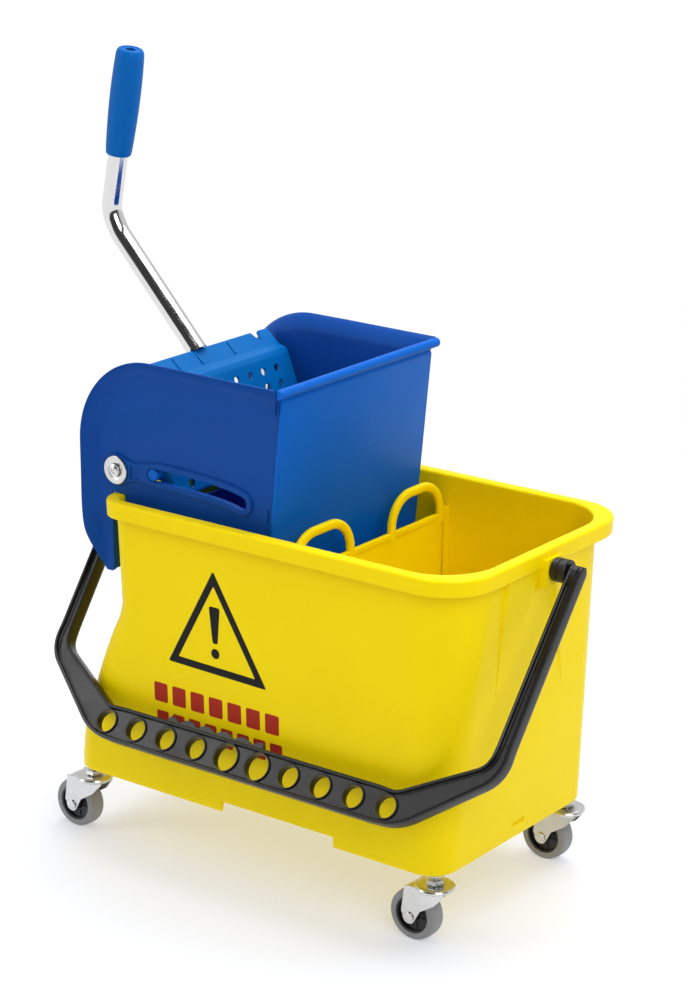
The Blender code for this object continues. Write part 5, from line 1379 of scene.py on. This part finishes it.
# ---------------------------------------------------------------- add-on
class BucketSettings(bpy.types.PropertyGroup):
    """Sizes and colours of the looks."""
    corner_steps: IntProperty(name="Corner steps", description="Facets in each rounded corner of the bucket",
                              default=16, min=4, max=32)
    yellow: FloatVectorProperty(name="Bucket yellow", description="Colour of the bucket and divider",
                                subtype="COLOR", size=3, default=(0.94, 0.710, 0.0))
    panel_blue: FloatVectorProperty(name="Side panel blue", description="Colour of the wringer's side panels",
                                    subtype="COLOR", size=3, default=(0.004, 0.066, 0.330))
    front_blue: FloatVectorProperty(name="Front panel blue",
                                    description="Colour of the wringer's front panel",
                                    subtype="COLOR", size=3, default=(0.001, 0.118, 0.560))
    jaw_blue: FloatVectorProperty(name="Jaw blue", description="Colour of the press jaw", subtype="COLOR",
                                  size=3, default=(0.001, 0.135, 0.440))
    grip_blue: FloatVectorProperty(name="Grip blue", description="Colour of the lever's grip",
                                   subtype="COLOR", size=3, default=(0.001, 0.120, 0.440))
    tyre_grey: FloatVectorProperty(name="Tyre grey", description="Colour of the tyres", subtype="COLOR",
                                   size=3, default=(0.235, 0.235, 0.235))
    key_power: FloatProperty(name="Key light", description="Power of the main soft lamp", subtype="POWER",
                             default=34.0, min=0.0)
    surroundings: FloatProperty(name="Surroundings", description="Brightness of the studio around the object",
                                subtype="FACTOR", default=0.72, min=0.0, max=2.0)


MOULDED = (("yellow", "bucket_yellow", 0.93, 0.34, 0.5), ("panel", "panel_blue", 0.85, 0.36, 0.9),
           ("front", "front_blue", 0.88, 0.33, 0.6), ("jaw", "jaw_blue", 0.88, 0.27, 0.5),
           ("grip", "grip_blue", 0.88, 0.42, 1.2))
FINISHES = {}


def mixed_finishes(settings):
    """Every finish by its short name."""
    colours = {"yellow": settings.yellow, "panel": settings.panel_blue, "front": settings.front_blue,
               "jaw": settings.jaw_blue, "grip": settings.grip_blue}
    made = {key: moulded_finish(name, colours[key], shaded(colours[key], deep), roughness, grain)
            for key, name, deep, roughness, grain in MOULDED}
    made["black"] = moulded_finish("bail_black", (0.006, 0.006, 0.006), (0.011, 0.011, 0.012), 0.27, 0.7,
                                   gloss=0.42)
    made["tyre"] = tyre_finish("tyre_rubber", settings.tyre_grey)
    made["chrome"] = plated_finish("bright_chrome", (0.80, 0.80, 0.81), 0.05, 0.10, 260.0)
    made["zinc"] = plated_finish("zinc_plate", (0.72, 0.72, 0.70), 0.22, 0.35, 520.0, (1.0, 1.0, 0.3))
    made["black_ink"] = print_finish("black_ink", (0.010, 0.010, 0.010))
    made["red_ink"] = print_finish("red_ink", (0.36, 0.022, 0.008))
    return made


def finishes():
    """The shared finishes, mixed the first time that they are asked for."""
    if not FINISHES:
        FINISHES.update(mixed_finishes(bpy.context.scene.mop_bucket))
    return FINISHES


class MOPBUCKET_OT_bucket(bpy.types.Operator):
    """Build the bucket shell"""
    bl_idname = "mop_bucket.bucket"
    bl_label = "Bucket"

    def execute(self, context):
        make_bucket(finishes(), context.scene.mop_bucket.corner_steps)
        return {"FINISHED"}


class MOPBUCKET_OT_sign(bpy.types.Operator):
    """Print the plain caution triangle on the bucket"""
    bl_idname = "mop_bucket.sign"
    bl_label = "Printed sign"

    def execute(self, context):
        make_sign(finishes())
        return {"FINISHED"}


class MOPBUCKET_OT_bail(bpy.types.Operator):
    """Build the carrying bail and its spacers"""
    bl_idname = "mop_bucket.bail"
    bl_label = "Bail"

    def execute(self, context):
        make_bail(finishes())
        make_bail_spacers(finishes())
        return {"FINISHED"}


class MOPBUCKET_OT_divider(bpy.types.Operator):
    """Build the lift-out divider"""
    bl_idname = "mop_bucket.divider"
    bl_label = "Divider"

    def execute(self, context):
        make_divider(finishes())
        return {"FINISHED"}


class MOPBUCKET_OT_basket(bpy.types.Operator):
    """Build the wringer's panels and pivot screws"""
    bl_idname = "mop_bucket.basket"
    bl_label = "Wringer basket"

    def execute(self, context):
        make_side_panels(finishes())
        make_front_panel(finishes())
        make_pivot_hardware(finishes())
        return {"FINISHED"}


class MOPBUCKET_OT_press(bpy.types.Operator):
    """Build the press jaw, lever tube and grip"""
    bl_idname = "mop_bucket.press"
    bl_label = "Press jaw and lever"

    def execute(self, context):
        make_jaw(finishes())
        make_lever(finishes())
        return {"FINISHED"}


class MOPBUCKET_OT_casters(bpy.types.Operator):
    """Build the four swivel casters"""
    bl_idname = "mop_bucket.casters"
    bl_label = "Casters"

    def execute(self, context):
        for name, (sx, sy) in CASTERS.items():
            centre = (sx * CASTER_X, sy * CASTER_Y)
            make_fork(name, centre, finishes())
            make_axle(name, centre, finishes())
            make_wheel(name, centre, finishes())
            make_stem(name, centre, finishes())
        return {"FINISHED"}


class MOPBUCKET_OT_plain_nodes(bpy.types.Operator):
    """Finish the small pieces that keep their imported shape"""
    bl_idname = "mop_bucket.plain_nodes"
    bl_label = "Small pieces"

    def execute(self, context):
        refinish_plain_nodes(finishes())
        return {"FINISHED"}


class MOPBUCKET_OT_stage(bpy.types.Operator):
    """Set the floor, lights, surroundings and camera"""
    bl_idname = "mop_bucket.stage"
    bl_label = "Stage"

    def execute(self, context):
        settings = context.scene.mop_bucket
        # The paper colour is a painted blue-grey tint that cancels the yellow light bounced onto the floor
        # from the bucket.
        stage_surface("studio_floor", 30.0, 0.0, floor_finish((0.53, 0.55, 0.62)))
        area_light("key_right", (1.9, -1.2, 1.9), (0.0, 0.0, 0.25), (1.6, 1.6), settings.key_power)
        area_light("fill_left", (-1.8, -1.7, 1.3), (0.0, 0.0, 0.30), (0.9, 1.9), settings.key_power * 0.42)
        area_light("top_soft", (0.1, 0.5, 2.4), (0.0, 0.0, 0.2), (2.2, 2.2), settings.key_power * 1.45)
        studio_surroundings(settings.surroundings)
        context.scene.view_settings.view_transform = "Standard"
        set_camera()
        return {"FINISHED"}


OPERATORS = (MOPBUCKET_OT_bucket, MOPBUCKET_OT_sign, MOPBUCKET_OT_bail, MOPBUCKET_OT_divider,
             MOPBUCKET_OT_basket, MOPBUCKET_OT_press, MOPBUCKET_OT_casters, MOPBUCKET_OT_plain_nodes,
             MOPBUCKET_OT_stage)


class MOPBUCKET_PT_sidebar(bpy.types.Panel):
    """Lists the settings and the steps"""
    bl_label = "Mop Bucket"
    bl_idname = "MOPBUCKET_PT_sidebar"
    bl_space_type = "VIEW_3D"
    bl_region_type = "UI"
    bl_category = "Mop Bucket"

    def draw(self, context):
        settings = context.scene.mop_bucket
        for name in BucketSettings.__annotations__:
            self.layout.prop(settings, name)
        for operator in OPERATORS:
            self.layout.operator(operator.bl_idname)


CLASSES = (BucketSettings, *OPERATORS, MOPBUCKET_PT_sidebar)


def register():
    """Make the classes and the settings known to Blender."""
    for each in CLASSES:
        bpy.utils.register_class(each)
    bpy.types.Scene.mop_bucket = PointerProperty(type=BucketSettings)


def unregister():
    """Take the classes and the settings away again."""
    del bpy.types.Scene.mop_bucket
    for each in reversed(CLASSES):
        bpy.utils.unregister_class(each)


def corners(bounds):
    """Two corners as plain lists of numbers."""
    return [[float(value) for value in corner] for corner in bounds]


def main():
    """Build every piece and the stage."""
    register()
    for operator in OPERATORS:
        group, name = operator.bl_idname.split(".")
        getattr(getattr(bpy.ops, group), name)()


if __name__ == "__main__":
    main()
